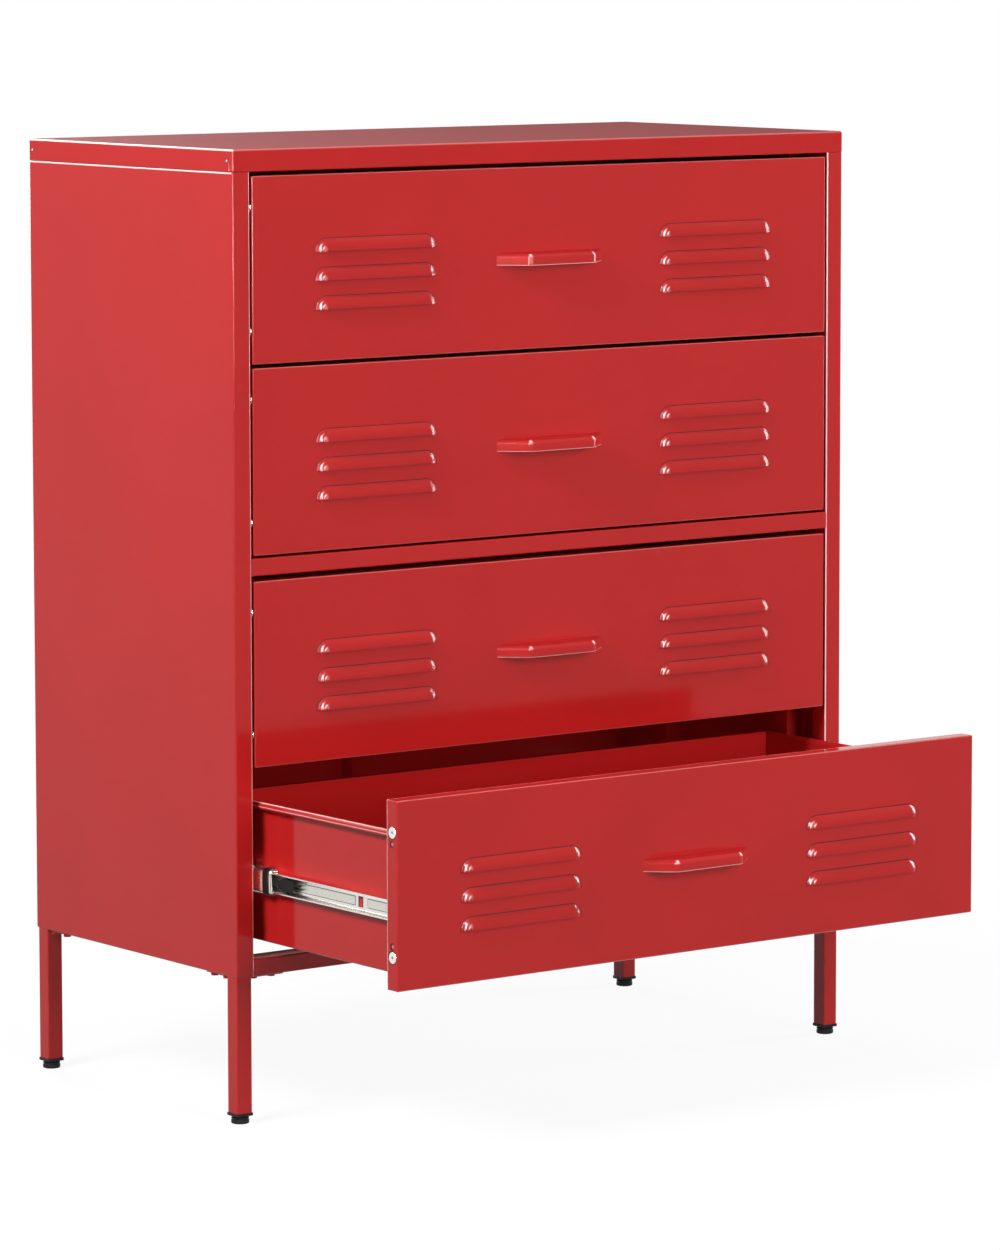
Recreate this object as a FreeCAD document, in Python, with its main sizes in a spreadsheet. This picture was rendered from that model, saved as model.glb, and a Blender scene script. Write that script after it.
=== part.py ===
import FreeCAD, Part
import math
import os
import Sketcher
from types import SimpleNamespace

# Free-standing sheet-steel cabinet with four drawers on ball-bearing slides and four tube legs.
# Millimetres. X runs to the right, Y to the back, Z up. The origin is on the floor, at the middle of
# the box that holds the cabinet with its bottom drawer open, as it rests.
# The cabinet's own pieces are drawn from the front face of the top panel, each drawer's pieces from
# the middle of the bottom edge of its front, and each body is then placed by the sheet's cells.

SHEET_CELLS = [
    ("cabinet_width", 800.0, "over the top panel"),
    ("cabinet_depth", 380.0, "over the top panel"),
    ("cabinet_height", 992.0, "floor to the top face"),
    ("gauge", 0.8, "thickness of the folded sheets"),
    ("sheet_gap", 0.1, "between sheets that are fastened to each other"),
    ("edge_gap", 0.2, "between a sheet's edge and its neighbour"),
    ("bend", 1.5, "outer radius of the large folds"),
    ("lid_height", 23.0, "folded edge of the top panel"),
    ("lid_hem", 12.0, "inward hem under the top panel"),
    ("seam_offset", 6.0, "corner seam from the front or back face"),
    ("seam_width", 0.5, "width and depth of the corner seam"),
    ("weld_offset", 10.5, "spot weld from the front or back face"),
    ("weld_radius", 1.4, "spot weld dimple"),
    ("body_inset", 0.5, "side panels inside the edge of the top panel"),
    ("panel_bottom", 151.5, "lower edge of the side panels"),
    ("stile_width", 20.7, "front fold of a side panel"),
    ("stile_return", 20.5, "depth of the stile with its inner flange"),
    ("panel_flange", 12.0, "top, bottom and rear flanges of a side panel"),
    ("back_flange", 20.0, "forward flanges of the back panels"),
    ("rail_height", 18.0, "middle and bottom rails"),
    ("rail_depth", 25.0, "middle and bottom rails"),
    ("bracket_width", 22.0, "upright slide bracket"),
    ("bracket_foot", 8.0, "flanges of a slide bracket"),
    ("bracket_front", 62.0, "front edge of the front brackets"),
    ("bracket_rear", 276.0, "front edge of the rear brackets"),
    ("leg_width", 18.0, "square leg tube"),
    ("leg_wall", 1.2, "leg tube"),
    ("leg_inset", 1.0, "leg inside the side panel"),
    ("leg_setback", 2.0, "leg behind the stile"),
    ("leg_bottom", 11.0, "lower end of the leg tube"),
    ("plate_thick", 1.5, "leg mounting plate"),
    ("plate_arm", 56.0, "arms of the L-shaped mounting plate"),
    ("plate_width", 20.0, "width of each arm"),
    ("plate_inset", 2.0, "plate inside the leg's outer faces"),
    ("plate_screw_end", 6.0, "outer screw from the end of a plate arm"),
    ("side_screw_inset", 6.5, "side screws of a plate inside the panel's face"),
    ("leg_screw", 2.0, "leg screw shank radius"),
    ("leg_screw_head", 4.0, "leg screw head radius"),
    ("leg_screw_head_thick", 2.4, "leg screw head"),
    ("leg_screw_end", 3.0, "leg screw beyond the sheet"),
    ("plug_edge", 1.0, "plug flange beyond the tube"),
    ("plug_flange", 3.0, "thickness of the plug flange"),
    ("plug_insert", 14.0, "part of the plug inside the tube"),
    ("foot_radius", 9.3, "levelling foot"),
    ("foot_height", 7.4, "levelling foot"),
    ("foot_bevel", 2.0, "upper edge of the foot"),
    ("stem_radius", 4.0, "threaded stem of the foot"),
    ("stem_top", 32.0, "upper end of the stem"),
    ("thread_play", 0.08, "radial play of the stems and handle screws"),
    ("drawer_width", 752.0, "drawer front"),
    ("drawer_height", 189.8, "drawer front"),
    ("front_flange", 17.0, "folded edges of a drawer front"),
    ("gap_under_lid", 4.2, "above the top drawer"),
    ("stack_gap", 4.0, "between stacked drawers"),
    ("gap_over_rail", 2.6, "under the second drawer"),
    ("gap_under_rail", 5.4, "above the third drawer"),
    ("drawer_open", 245.0, "opening of the bottom drawer at rest"),
    ("mid_open", 43.0, "travel of its intermediate slide members at rest"),
    ("box_width", 727.0, "over the drawer sides"),
    ("box_depth", 333.0, "drawer front face to the back of the box"),
    ("box_low", 14.0, "lower edge of the box above the front's"),
    ("bead_level", 154.0, "middle of the rolled edge"),
    ("bead_radius", 4.0, "rolled upper edge of a drawer side"),
    ("fold_top", 168.0, "upper end of a side's front fold"),
    ("side_flange", 10.0, "bottom flange of a drawer side"),
    ("back_flanges", 8.0, "rear flanges of the drawer back"),
    ("corner_screw_low", 33.0, "lower screws of a front"),
    ("corner_screw_high", 157.5, "upper screws of a front"),
    ("corner_screw_depth", 9.5, "screws behind the front face"),
    ("corner_screw_end", 6.0, "corner screw inside the front's side"),
    ("pilot_step", 11.5, "small hole from the screw"),
    ("pilot_radius", 2.1, "small hole beside a screw"),
    ("screw_radius", 2.5, "corner screw shank"),
    ("screw_head", 6.2, "corner screw head radius"),
    ("screw_head_thick", 1.3, "corner screw head"),
    ("recess_depth", 0.8, "cross recess of a corner screw"),
    ("recess_arm", 2.4, "cross recess, from its middle"),
    ("recess_half", 0.5, "cross recess, half an arm's width"),
    ("screw_play", 0.15, "radial play of the screws in their holes"),
    ("louvre_length", 150.0, "pressed louvre"),
    ("louvre_rise", 13.0, "height of a louvre"),
    ("louvre_out", 5.5, "louvre lip in front of the sheet"),
    ("louvre_notch", 0.25, "notch in the lip where its rounded ends begin"),
    ("louvre_centre", 223.0, "bank of louvres from the middle"),
    ("louvre_low", 52.3, "lowest louvre above the front's lower edge"),
    ("louvre_pitch", 29.4, "louvre to louvre"),
    ("handle_length", 138.0, "pull, at the drawer front"),
    ("handle_flat", 84.0, "pull, along its front"),
    ("handle_out", 24.0, "pull in front of the drawer"),
    ("handle_height", 13.0, "pull"),
    ("handle_level", 88.4, "lower edge of the pull"),
    ("handle_wall", 1.6, "wall of the pull"),
    ("handle_corner", 9.0, "front corners of the pull"),
    ("handle_edge", 3.0, "upper edge of the pull"),
    ("boss_spacing", 96.0, "screw bosses in the pull"),
    ("boss_width", 8.0, "screw boss"),
    ("boss_length", 13.0, "screw boss"),
    ("boss_level", 7.4, "screw above the lower edge of the pull"),
    ("handle_screw", 1.75, "handle screw shank radius"),
    ("handle_screw_head", 3.5, "handle screw head radius"),
    ("handle_screw_head_thick", 2.0, "handle screw head"),
    ("handle_screw_short", 3.0, "handle screw short of the boss's end"),
    ("slide_length", 300.0, "telescopic slide"),
    ("slide_level", 78.5, "middle of the slide above the front's lower edge"),
    ("slide_start", 17.4, "front end of the drawer member"),
    ("slide_gauge", 1.2, "slide members"),
    ("slide_bend", 1.0, "outer bends of the slide members"),
    ("slide_space", 12.7, "between drawer side and bracket"),
    ("outer_height", 35.0, "cabinet member"),
    ("outer_reach", 9.7, "depth of the cabinet member"),
    ("middle_height", 27.0, "intermediate member"),
    ("middle_start", 1.5, "intermediate member from the drawer side"),
    ("middle_reach", 9.0, "depth of the intermediate member"),
    ("middle_setback", 1.0, "intermediate member behind the drawer member"),
    ("middle_shorter", 4.0, "intermediate member, shorter by"),
    ("inner_height", 20.5, "drawer member"),
    ("inner_reach", 8.0, "depth of the drawer member"),
    ("slot_back", 60.0, "mounting slot from the member's front end"),
    ("slot_width", 6.0, "mounting slot"),
    ("slot_height", 11.0, "mounting slot"),
    ("tab_play", 0.8, "hook tab inside the edges of its slot"),
    ("cage_length", 76.0, "ball cages"),
    ("cage_gauge", 0.5, "ball cages"),
    ("ball_pitch", 7.0, "balls in a cage"),
    ("inner_ball", 0.72, "radius of the balls on the drawer member"),
    ("inner_cage_half", 11.53, "half height of the inner cage"),
    ("inner_cage_gap", 0.35, "inner cage from the web behind it"),
    ("inner_cage_front", 2.0, "inner cage behind the member's front end"),
    ("inner_cage_tip", 1.0, "inner cage short of the member's lips"),
    ("outer_ball", 1.05, "radius of the balls in the cabinet member"),
    ("outer_cage_half", 15.15, "half height of the outer cage"),
    ("outer_cage_gap", 0.7, "face of the outer cage from the web before it"),
    ("outer_cage_reach", 7.0, "depth of the outer cage"),
    ("outer_cage_rear", 40.0, "outer cage before the member's rear end"),
    ("lever_pivot", 204.0, "lever pivot behind the front face"),
    ("lever_front", 187.0, "front end of the lever's block"),
    ("lever_rear", 213.0, "rear end of the lever's block"),
    ("lever_tip", 179.0, "tips of the lever's fork"),
    ("lever_half", 6.2, "half height of the lever's block"),
    ("lever_waist", 2.8, "half height of the fork and of the rear end"),
    ("lever_slit", 1.25, "half height of the gap in the fork"),
    ("lever_taper", 5.0, "slanted length at the rear of the block"),
    ("lever_inside", 0.4, "lever from the member's web"),
    ("lever_outside", 0.6, "lever inside the member's lips"),
    ("pivot_radius", 1.9, "pivot stud of the lever"),
    ("pivot_play", 0.08, "radial play on the stud"),
    ("stud_short", 0.4, "stud inside the member's lips"),
]

TOLERANCE = 0.001


class Size:
    """A length: its text is an expression on the sheet's cells, its value is in millimetres."""

    def __init__(self, text, value):
        self.text = text
        self.value = value

    def __add__(self, other):
        other = as_size(other)
        return Size(f"({self.text} + {other.text})", self.value + other.value)

    def __radd__(self, other):
        return as_size(other) + self

    def __sub__(self, other):
        other = as_size(other)
        return Size(f"({self.text} - {other.text})", self.value - other.value)

    def __rsub__(self, other):
        return as_size(other) - self

    def __mul__(self, other):
        other = as_size(other)
        return Size(f"({self.text} * {other.text})", self.value * other.value)

    def __rmul__(self, other):
        return as_size(other) * self

    def __truediv__(self, other):
        other = as_size(other)
        return Size(f"({self.text} / {other.text})", self.value / other.value)

    def __neg__(self):
        return Size(f"(0 - {self.text})", -self.value)

    def root(self):
        return Size(f"sqrt({self.text})", self.value ** 0.5)


def as_size(number):
    """A plain number as a Size; a Size is returned as it is."""
    if isinstance(number, Size):
        return number
    return Size(f"({float(number)!r})", float(number))


doc = FreeCAD.newDocument("DrawerCabinet")
sheet = doc.addObject("Spreadsheet::Sheet", "Sizes")
size = SimpleNamespace()
sheet_rows = []


def add_cell(name, content, value, note):
    """One row of the sheet: name, value or formula, and note. Returns the cell as a Size."""
    sheet_rows.append(name)
    row = len(sheet_rows)
    sheet.set(f"A{row}", name)
    sheet.set(f"B{row}", content)
    sheet.set(f"C{row}", note)
    sheet.setAlias(f"B{row}", name)
    return Size(f"Sizes.{name}", value)


def derived(name, formula, note):
    """A size that follows from others, as a formula in a cell of its own."""
    return add_cell(name, "=" + formula.text.replace("Sizes.", ""), formula.value, note)


for cell_name, cell_value, cell_note in SHEET_CELLS:
    setattr(size, cell_name, add_cell(cell_name, str(cell_value), cell_value, cell_note))

half_width = derived("half_width", size.cabinet_width / 2, "middle to the top panel's side")
body_half = derived("body_half", half_width - size.body_inset, "middle to a side panel's face")
body_back = derived("body_back", size.cabinet_depth - size.body_inset, "rear of the side panels")
lid_bottom = derived("lid_bottom", size.cabinet_height - size.lid_height, "top panel's lower edge")
drawer_half = derived("drawer_half", size.drawer_width / 2, "middle to a drawer front's side")
box_half = derived("box_half", size.box_width / 2, "middle to a drawer side's face")
bracket_half = derived("bracket_half", box_half + size.slide_space, "middle to a bracket's face")
front_shift = derived("front_shift", (size.drawer_open + size.handle_out - size.body_inset
                                      - size.cabinet_depth) / 2, "front of the top panel, along Y")
louvre_back = derived("louvre_back", (size.louvre_rise * size.louvre_rise
                                      - size.louvre_out * size.louvre_out)
                      / (2 * size.louvre_out), "centre of the louvre's curve behind the sheet")
louvre_curve = derived("louvre_curve", louvre_back + size.louvre_out, "radius of that curve")
louvre_hollow = derived("louvre_hollow", louvre_curve - size.gauge, "its inner radius")
louvre_mouth = derived("louvre_mouth", (louvre_hollow * louvre_hollow
                                        - louvre_back * louvre_back).root(),
                       "height of the opening behind a louvre")

drawer_levels = {}
drawer_levels[1] = derived("drawer_level_1", lid_bottom - size.gap_under_lid - size.drawer_height,
                           "lower edge of the top drawer's front")
drawer_levels[2] = derived("drawer_level_2", drawer_levels[1] - size.stack_gap
                           - size.drawer_height, "lower edge of the second drawer's front")
middle_rail_level = derived("middle_rail_level", drawer_levels[2] - size.gap_over_rail
                            - size.rail_height, "lower edge of the middle rail")
drawer_levels[3] = derived("drawer_level_3", middle_rail_level - size.gap_under_rail
                           - size.drawer_height, "lower edge of the third drawer's front")
drawer_levels[4] = derived("drawer_level_4", drawer_levels[3] - size.stack_gap
                           - size.drawer_height, "lower edge of the bottom drawer's front")
doc.recompute()
OPEN_DRAWER = 4
BALLS_IN_ROW = 9
LEFT, RIGHT = -1, 1
SIDES = (("left", LEFT), ("right", RIGHT))


def rectangle(left, right, low, high):
    """Four corners, whichever way round the limits are given."""
    left, right = sorted((as_size(left), as_size(right)), key=lambda limit: limit.value)
    low, high = sorted((as_size(low), as_size(high)), key=lambda limit: limit.value)
    return [(left, low), (right, low), (right, high), (left, high)]


def channel(web, tip, middle, height, gauge):
    """C-shaped section: a web at one distance from the middle plane, flanges that reach to tip."""
    inward = 1 if tip.value > web.value else -1
    web_inner = web + gauge * inward
    low = middle - height / 2
    high = middle + height / 2
    return [(web, low), (tip, low), (tip, low + gauge), (web_inner, low + gauge),
            (web_inner, high - gauge), (tip, high - gauge), (tip, high), (web, high)]


def disc(across, up, radius):
    return SimpleNamespace(across=as_size(across), up=as_size(up), radius=as_size(radius))


def new_body(label):
    body = doc.addObject("PartDesign::Body", label)
    body.Label = label
    return body


def origin_item(body, role):
    return [item for item in body.Origin.OriginFeatures if item.Role == role][0]


def new_sketch(body, name, role, offset):
    """Empty sketch on one of the body's own origin planes, moved along the plane's normal."""
    sketch = body.newObject("Sketcher::SketchObject", name)
    sketch.AttachmentSupport = [(origin_item(body, role), "")]
    sketch.MapMode = "FlatFace"
    lift = FreeCAD.Vector(0, 0, offset.value)
    sketch.AttachmentOffset = FreeCAD.Placement(lift, FreeCAD.Rotation())
    sketch.setExpression("AttachmentOffset.Base.z", offset.text)
    return sketch


def hold_point(sketch, geometry, end, across, up):
    """Dimensions one point of the sketch from its origin, with expressions on the sheet."""
    for kind, axis, place in (("DistanceX", -2, as_size(across)), ("DistanceY", -1, as_size(up))):
        if abs(place.value) < TOLERANCE:
            sketch.addConstraint(Sketcher.Constraint("PointOnObject", geometry, end, axis))
        else:
            held = Sketcher.Constraint(kind, -1, 1, geometry, end, place.value)
            index = sketch.addConstraint(held)
            sketch.setExpression(f"Constraints[{index}]", place.text)


def hold_radius(sketch, geometry, radius):
    index = sketch.addConstraint(Sketcher.Constraint("Radius", geometry, radius.value))
    sketch.setExpression(f"Constraints[{index}]", radius.text)


def flat(point):
    return FreeCAD.Vector(as_size(point[0]).value, as_size(point[1]).value, 0)


def add_polygon(sketch, points):
    first = sketch.GeometryCount
    count = len(points)
    for start, end in zip(points, points[1:] + points[:1]):
        sketch.addGeometry(Part.LineSegment(flat(start), flat(end)), False)
    for index in range(count):
        follower = first + (index + 1) % count
        sketch.addConstraint(Sketcher.Constraint("Coincident", first + index, 2, follower, 1))
    for index, point in enumerate(points):
        hold_point(sketch, first + index, 1, point[0], point[1])


def add_disc(sketch, outline):
    centre = FreeCAD.Vector(outline.across.value, outline.up.value, 0)
    circle = Part.Circle(centre, FreeCAD.Vector(0, 0, 1), outline.radius.value)
    index = sketch.addGeometry(circle, False)
    hold_radius(sketch, index, outline.radius)
    hold_point(sketch, index, 3, outline.across, outline.up)


def add_outline(sketch, outline):
    if isinstance(outline, list):
        add_polygon(sketch, outline)
    else:
        add_disc(sketch, outline)


def pad(body, name, role, outlines, low, high):
    """Adds material between two distances along X (YZ plane), Y (XZ plane) or Z (XY plane)."""
    low, high = as_size(low), as_size(high)
    offset = -high if role == "XZ_Plane" else low
    sketch = new_sketch(body, name + "Sketch", role, offset)
    for outline in outlines:
        add_outline(sketch, outline)
    feature = body.newObject("PartDesign::Pad", name)
    feature.Profile = sketch
    feature.Length = high.value - low.value
    feature.setExpression("Length", (high - low).text)
    return feature


def cut(body, name, role, outlines, low, high):
    """Takes material away between two distances, and stops if nothing was cut."""
    doc.recompute()
    volume = body.Tip.Shape.Volume
    low, high = as_size(low), as_size(high)
    offset = -low if role == "XZ_Plane" else high
    sketch = new_sketch(body, name + "Sketch", role, offset)
    for outline in outlines:
        add_outline(sketch, outline)
    feature = body.newObject("PartDesign::Pocket", name)
    feature.Profile = sketch
    feature.Length = high.value - low.value
    feature.setExpression("Length", (high - low).text)
    doc.recompute()
    if not feature.Shape.Volume < volume - TOLERANCE:
        raise RuntimeError(f"{body.Label}: {name} cuts nothing")
    return feature


def edges_at(body, along, x=(), y=(), z=()):
    """Names of the body's straight edges that run along an axis at the given coordinates."""
    doc.recompute()
    names = []
    shape = body.Tip.Shape
    direction = {"x": 0, "y": 1, "z": 2}[along]
    wanted = {0: [as_size(limit).value for limit in x],
              1: [as_size(limit).value for limit in y],
              2: [as_size(limit).value for limit in z]}
    for index, edge in enumerate(shape.Edges, 1):
        if edge.Degenerated or edge.Curve.TypeId != "Part::GeomLine":
            continue
        first, last = edge.Vertexes[0].Point, edge.Vertexes[-1].Point
        steps = [abs(last[axis] - first[axis]) for axis in range(3)]
        if steps[direction] < TOLERANCE:
            continue
        if sum(steps) - steps[direction] > TOLERANCE:
            continue
        fits = [not limits or min(abs(first[axis] - limit) for limit in limits) < TOLERANCE
                for axis, limits in wanted.items()]
        if all(fits):
            names.append(f"Edge{index}")
    return names


def fillet(body, name, radius, edges):
    if not edges:
        raise RuntimeError(f"{body.Label}: {name} found no edge")
    base = body.Tip
    feature = body.newObject("PartDesign::Fillet", name)
    feature.Base = (base, edges)
    feature.Radius = radius.value
    feature.setExpression("Radius", radius.text)
    return feature


def place(body, y=None, z=None):
    """Moves a finished body along Y and Z by expressions on the sheet."""
    for axis, distance in (("y", y), ("z", z)):
        if distance is not None:
            body.setExpression(f"Placement.Base.{axis}", distance.text)


def make_top_panel():
    """Pan that drops over the side panels: four folded edges, and a hem turned in under them."""
    body = new_body("top_panel")
    outside = rectangle(-half_width, half_width, 0, size.cabinet_depth)
    pad(body, "Pan", "XY_Plane", [outside], lid_bottom, size.cabinet_height)
    corners = edges_at(body, "z", x=(-half_width, half_width), y=(0, size.cabinet_depth))
    fillet(body, "CornerFolds", size.bend, corners)
    upper = edges_at(body, "x", y=(0, size.cabinet_depth), z=(size.cabinet_height,))
    fillet(body, "UpperFolds", size.gauge, upper[:1])
    inner_x = half_width - size.gauge
    inner_back = size.cabinet_depth - size.gauge
    inside = rectangle(-inner_x, inner_x, size.gauge, inner_back)
    cut(body, "Inside", "XY_Plane", [inside], lid_bottom + size.gauge,
        size.cabinet_height - size.gauge)
    hem_x = half_width - size.lid_hem
    hem = rectangle(-hem_x, hem_x, size.lid_hem, size.cabinet_depth - size.lid_hem)
    cut(body, "Hem", "XY_Plane", [hem], lid_bottom, lid_bottom + size.gauge)
    middle = lid_bottom + size.lid_height / 2
    for name, side in SIDES:
        face = half_width * side
        bottom = half_width * side - size.seam_width * side
        near, far = sorted((face, bottom), key=lambda limit: limit.value)
        marks = []
        for seam, weld in ((size.seam_offset, size.weld_offset),
                           (size.cabinet_depth - size.seam_offset,
                            size.cabinet_depth - size.weld_offset)):
            half_seam = size.seam_width / 2
            marks.append(rectangle(seam - half_seam, seam + half_seam,
                                   lid_bottom, size.cabinet_height))
            marks.append(disc(weld, middle, size.weld_radius))
        cut(body, name.capitalize() + "Seams", "YZ_Plane", marks, near, far)
    place(body, y=front_shift)


def make_side_panel(name, side):
    """One folded sheet: outer skin, front stile with its inner flange, top, bottom and rear flanges."""
    body = new_body(f"side_panel_{name}")
    stile_inner = body_half - size.stile_width
    outside = rectangle(body_half * side, stile_inner * side, size.body_inset, body_back)
    pad(body, "Sheet", "XY_Plane", [outside], size.panel_bottom, lid_bottom)
    front_edges = edges_at(body, "z", x=(body_half * side,), y=(size.body_inset,))
    fillet(body, "FrontFold", size.bend, front_edges)
    skin_inner = body_half - size.gauge
    inside = rectangle(skin_inner * side, (stile_inner + size.gauge) * side,
                       size.body_inset + size.gauge, body_back - size.gauge)
    cut(body, "Inside", "XY_Plane", [inside], size.panel_bottom + size.gauge,
        lid_bottom - size.gauge)
    return_end = size.body_inset + size.stile_return
    flange_tip = body_half - size.panel_flange
    opening = rectangle(flange_tip * side, stile_inner * side, return_end, body_back)
    cut(body, "Opening", "XY_Plane", [opening], size.panel_bottom, lid_bottom)
    holes = [disc(screw_x * side, screw_y, size.leg_screw + size.screw_play)
             for screw_x, screw_y in leg_screws("side")]
    cut(body, "LegScrewHoles", "XY_Plane", holes, size.panel_bottom,
        size.panel_bottom + size.gauge)
    place(body, y=front_shift)


def leg_screws(arm):
    """Screw places of the leg plates: distance from the middle plane, and from the front."""
    near, far = size.plate_arm / 2, size.plate_arm - size.plate_screw_end
    line = size.body_inset + size.rail_depth / 2
    if arm == "side":
        across = body_half - size.side_screw_inset
        along = [size.body_inset + near, size.body_inset + far]
        places = along + [size.cabinet_depth - distance for distance in along]
        return [(across, distance) for distance in places]
    across = [body_half - near, body_half - far]
    row = line if arm == "front" else size.cabinet_depth - line
    return [(distance, row) for distance in across]


def make_back_panels():
    """Two pans side by side, with forward flanges at the cabinet's middle and at its sides."""
    step = size.gauge + size.sheet_gap
    rear = body_back - step
    low = size.panel_bottom + step
    high = lid_bottom - step
    outer = body_half - step
    inner = size.sheet_gap
    for name, side in SIDES:
        body = new_body(f"back_panel_{name}")
        outside = rectangle(outer * side, inner * side, rear - size.back_flange, rear)
        pad(body, "Sheet", "XY_Plane", [outside], low, high)
        inside = rectangle((outer - size.gauge) * side, (inner + size.gauge) * side,
                           rear - size.back_flange, rear - size.gauge)
        cut(body, "Inside", "XY_Plane", [inside], low, high)
        notch = rectangle(inner * side, (inner + size.gauge) * side,
                          rear - size.back_flange, rear - size.gauge)
        cut(body, "RailNotch", "XY_Plane", [notch], low,
            size.panel_bottom + size.rail_height + size.edge_gap * 2)
        place(body, y=front_shift)


def make_rail(name, half_length, front, level, screws=()):
    """Channel that lies open to the back between the side panels."""
    body = new_body(name)
    low, high = level, level + size.rail_height
    back = front + size.rail_depth
    section = [(front, low), (back, low), (back, low + size.gauge),
               (front + size.gauge, low + size.gauge), (front + size.gauge, high - size.gauge),
               (back, high - size.gauge), (back, high), (front, high)]
    pad(body, "Channel", "YZ_Plane", [section], -half_length, half_length)
    folds = edges_at(body, "x", y=(front,), z=(low, high))
    fillet(body, "Folds", size.gauge, folds)
    if screws:
        radius = size.leg_screw + size.screw_play
        holes = [disc(place_x * side, place_y, radius)
                 for place_x, place_y in screws for _, side in SIDES]
        cut(body, "LegScrewHoles", "XY_Plane", holes, low, low + size.gauge)
    place(body, y=front_shift)


def make_rails():
    stile_inner = body_half - size.stile_width
    make_rail("middle_rail", stile_inner, size.body_inset, middle_rail_level)
    make_rail("bottom_front_rail", stile_inner, size.body_inset, size.panel_bottom,
              leg_screws("front"))
    rear_start = body_back - size.gauge * 2 - size.edge_gap * 2 - size.rail_depth
    rear_half = body_half - size.panel_flange - size.edge_gap
    make_rail("bottom_rear_rail", rear_half, rear_start, size.panel_bottom, leg_screws("rear"))


def make_slide_brackets():
    """Four upright hat sections that carry the slides level with the stiles' inner edges."""
    body = new_body("slide_brackets")
    skin = body_half - size.gauge
    low = size.panel_bottom + size.gauge + size.edge_gap
    high = lid_bottom - size.gauge - size.edge_gap
    for name, side in SIDES:
        for end, front in (("Front", size.bracket_front), ("Rear", size.bracket_rear)):
            back = front + size.bracket_width
            gauge = size.slide_gauge
            outline = [(skin, front - size.bracket_foot), (skin - gauge, front - size.bracket_foot),
                       (skin - gauge, front), (bracket_half, front), (bracket_half, back),
                       (skin - gauge, back), (skin - gauge, back + size.bracket_foot),
                       (skin, back + size.bracket_foot), (skin, back - gauge),
                       (bracket_half + gauge, back - gauge), (bracket_half + gauge, front + gauge),
                       (skin, front + gauge)]
            outline = [(across * side, up) for across, up in outline]
            pad(body, f"{end}{name.capitalize()}", "XY_Plane", [outline], low, high)
    place(body, y=front_shift)


def make_cabinet_runners():
    """Outer members of the eight slides, fixed to the brackets and open towards the drawers."""
    body = new_body("cabinet_runners")
    tip = bracket_half - size.outer_reach
    start = size.body_inset + size.slide_start
    for number, level in drawer_levels.items():
        for name, side in SIDES:
            section = channel(bracket_half * side, tip * side, level + size.slide_level,
                              size.outer_height, size.slide_gauge)
            pad(body, f"Runner{number}{name.capitalize()}", "XZ_Plane", [section],
                start, start + size.slide_length)
    place(body, y=front_shift)


def leg_corner(side, rear):
    """Outer corner of a leg and the directions that lead inwards from it."""
    corner_x = (body_half - size.leg_inset) * side
    corner_y = size.body_inset + size.leg_setback
    inward_y = 1
    if rear:
        corner_y = body_back - size.leg_setback
        inward_y = -1
    return corner_x, corner_y, -side, inward_y


def make_leg(name, side, rear):
    """Square tube welded under an L-shaped plate that is screwed to the cabinet's bottom edge."""
    body = new_body(f"leg_{name}")
    corner_x, corner_y, inward_x, inward_y = leg_corner(side, rear)
    plate_x = corner_x + size.plate_inset * inward_x
    plate_y = corner_y + size.plate_inset * inward_y
    plate_top = size.panel_bottom
    plate_bottom = plate_top - size.plate_thick
    outline = [(plate_x, plate_y), (plate_x + size.plate_arm * inward_x, plate_y),
               (plate_x + size.plate_arm * inward_x, plate_y + size.plate_width * inward_y),
               (plate_x + size.plate_width * inward_x, plate_y + size.plate_width * inward_y),
               (plate_x + size.plate_width * inward_x, plate_y + size.plate_arm * inward_y),
               (plate_x, plate_y + size.plate_arm * inward_y)]
    pad(body, "Plate", "XY_Plane", [outline], plate_bottom, plate_top)
    far_x = corner_x + size.leg_width * inward_x
    far_y = corner_y + size.leg_width * inward_y
    tube = rectangle(corner_x, far_x, corner_y, far_y)
    pad(body, "Tube", "XY_Plane", [tube], size.leg_bottom, plate_top)
    wall_x = size.leg_wall * inward_x
    wall_y = size.leg_wall * inward_y
    edges = edges_at(body, "z", x=(corner_x, far_x), y=(corner_y, far_y))
    fillet(body, "TubeCorners", size.leg_wall, edges)
    bore = rectangle(corner_x + wall_x, far_x - wall_x, corner_y + wall_y, far_y - wall_y)
    cut(body, "Bore", "XY_Plane", [bore], size.leg_bottom, plate_bottom)
    radius = size.leg_screw + size.screw_play
    holes = [disc(place_x, place_y, radius) for place_x, place_y in plate_screws(side, rear)]
    cut(body, "ScrewHoles", "XY_Plane", holes, plate_bottom, plate_top)
    place(body, y=front_shift)


def plate_screws(side, rear):
    """Places of the four screws of one leg plate."""
    along = leg_screws("side")
    along = along[2:] if rear else along[:2]
    return [(place_x * side, place_y)
            for place_x, place_y in along + leg_screws("rear" if rear else "front")]


def leg_middle(side, rear):
    corner_x, corner_y, inward_x, inward_y = leg_corner(side, rear)
    return corner_x + size.leg_width / 2 * inward_x, corner_y + size.leg_width / 2 * inward_y


LEGS = [("front_left", LEFT, False), ("front_right", RIGHT, False),
        ("rear_left", LEFT, True), ("rear_right", RIGHT, True)]


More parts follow.
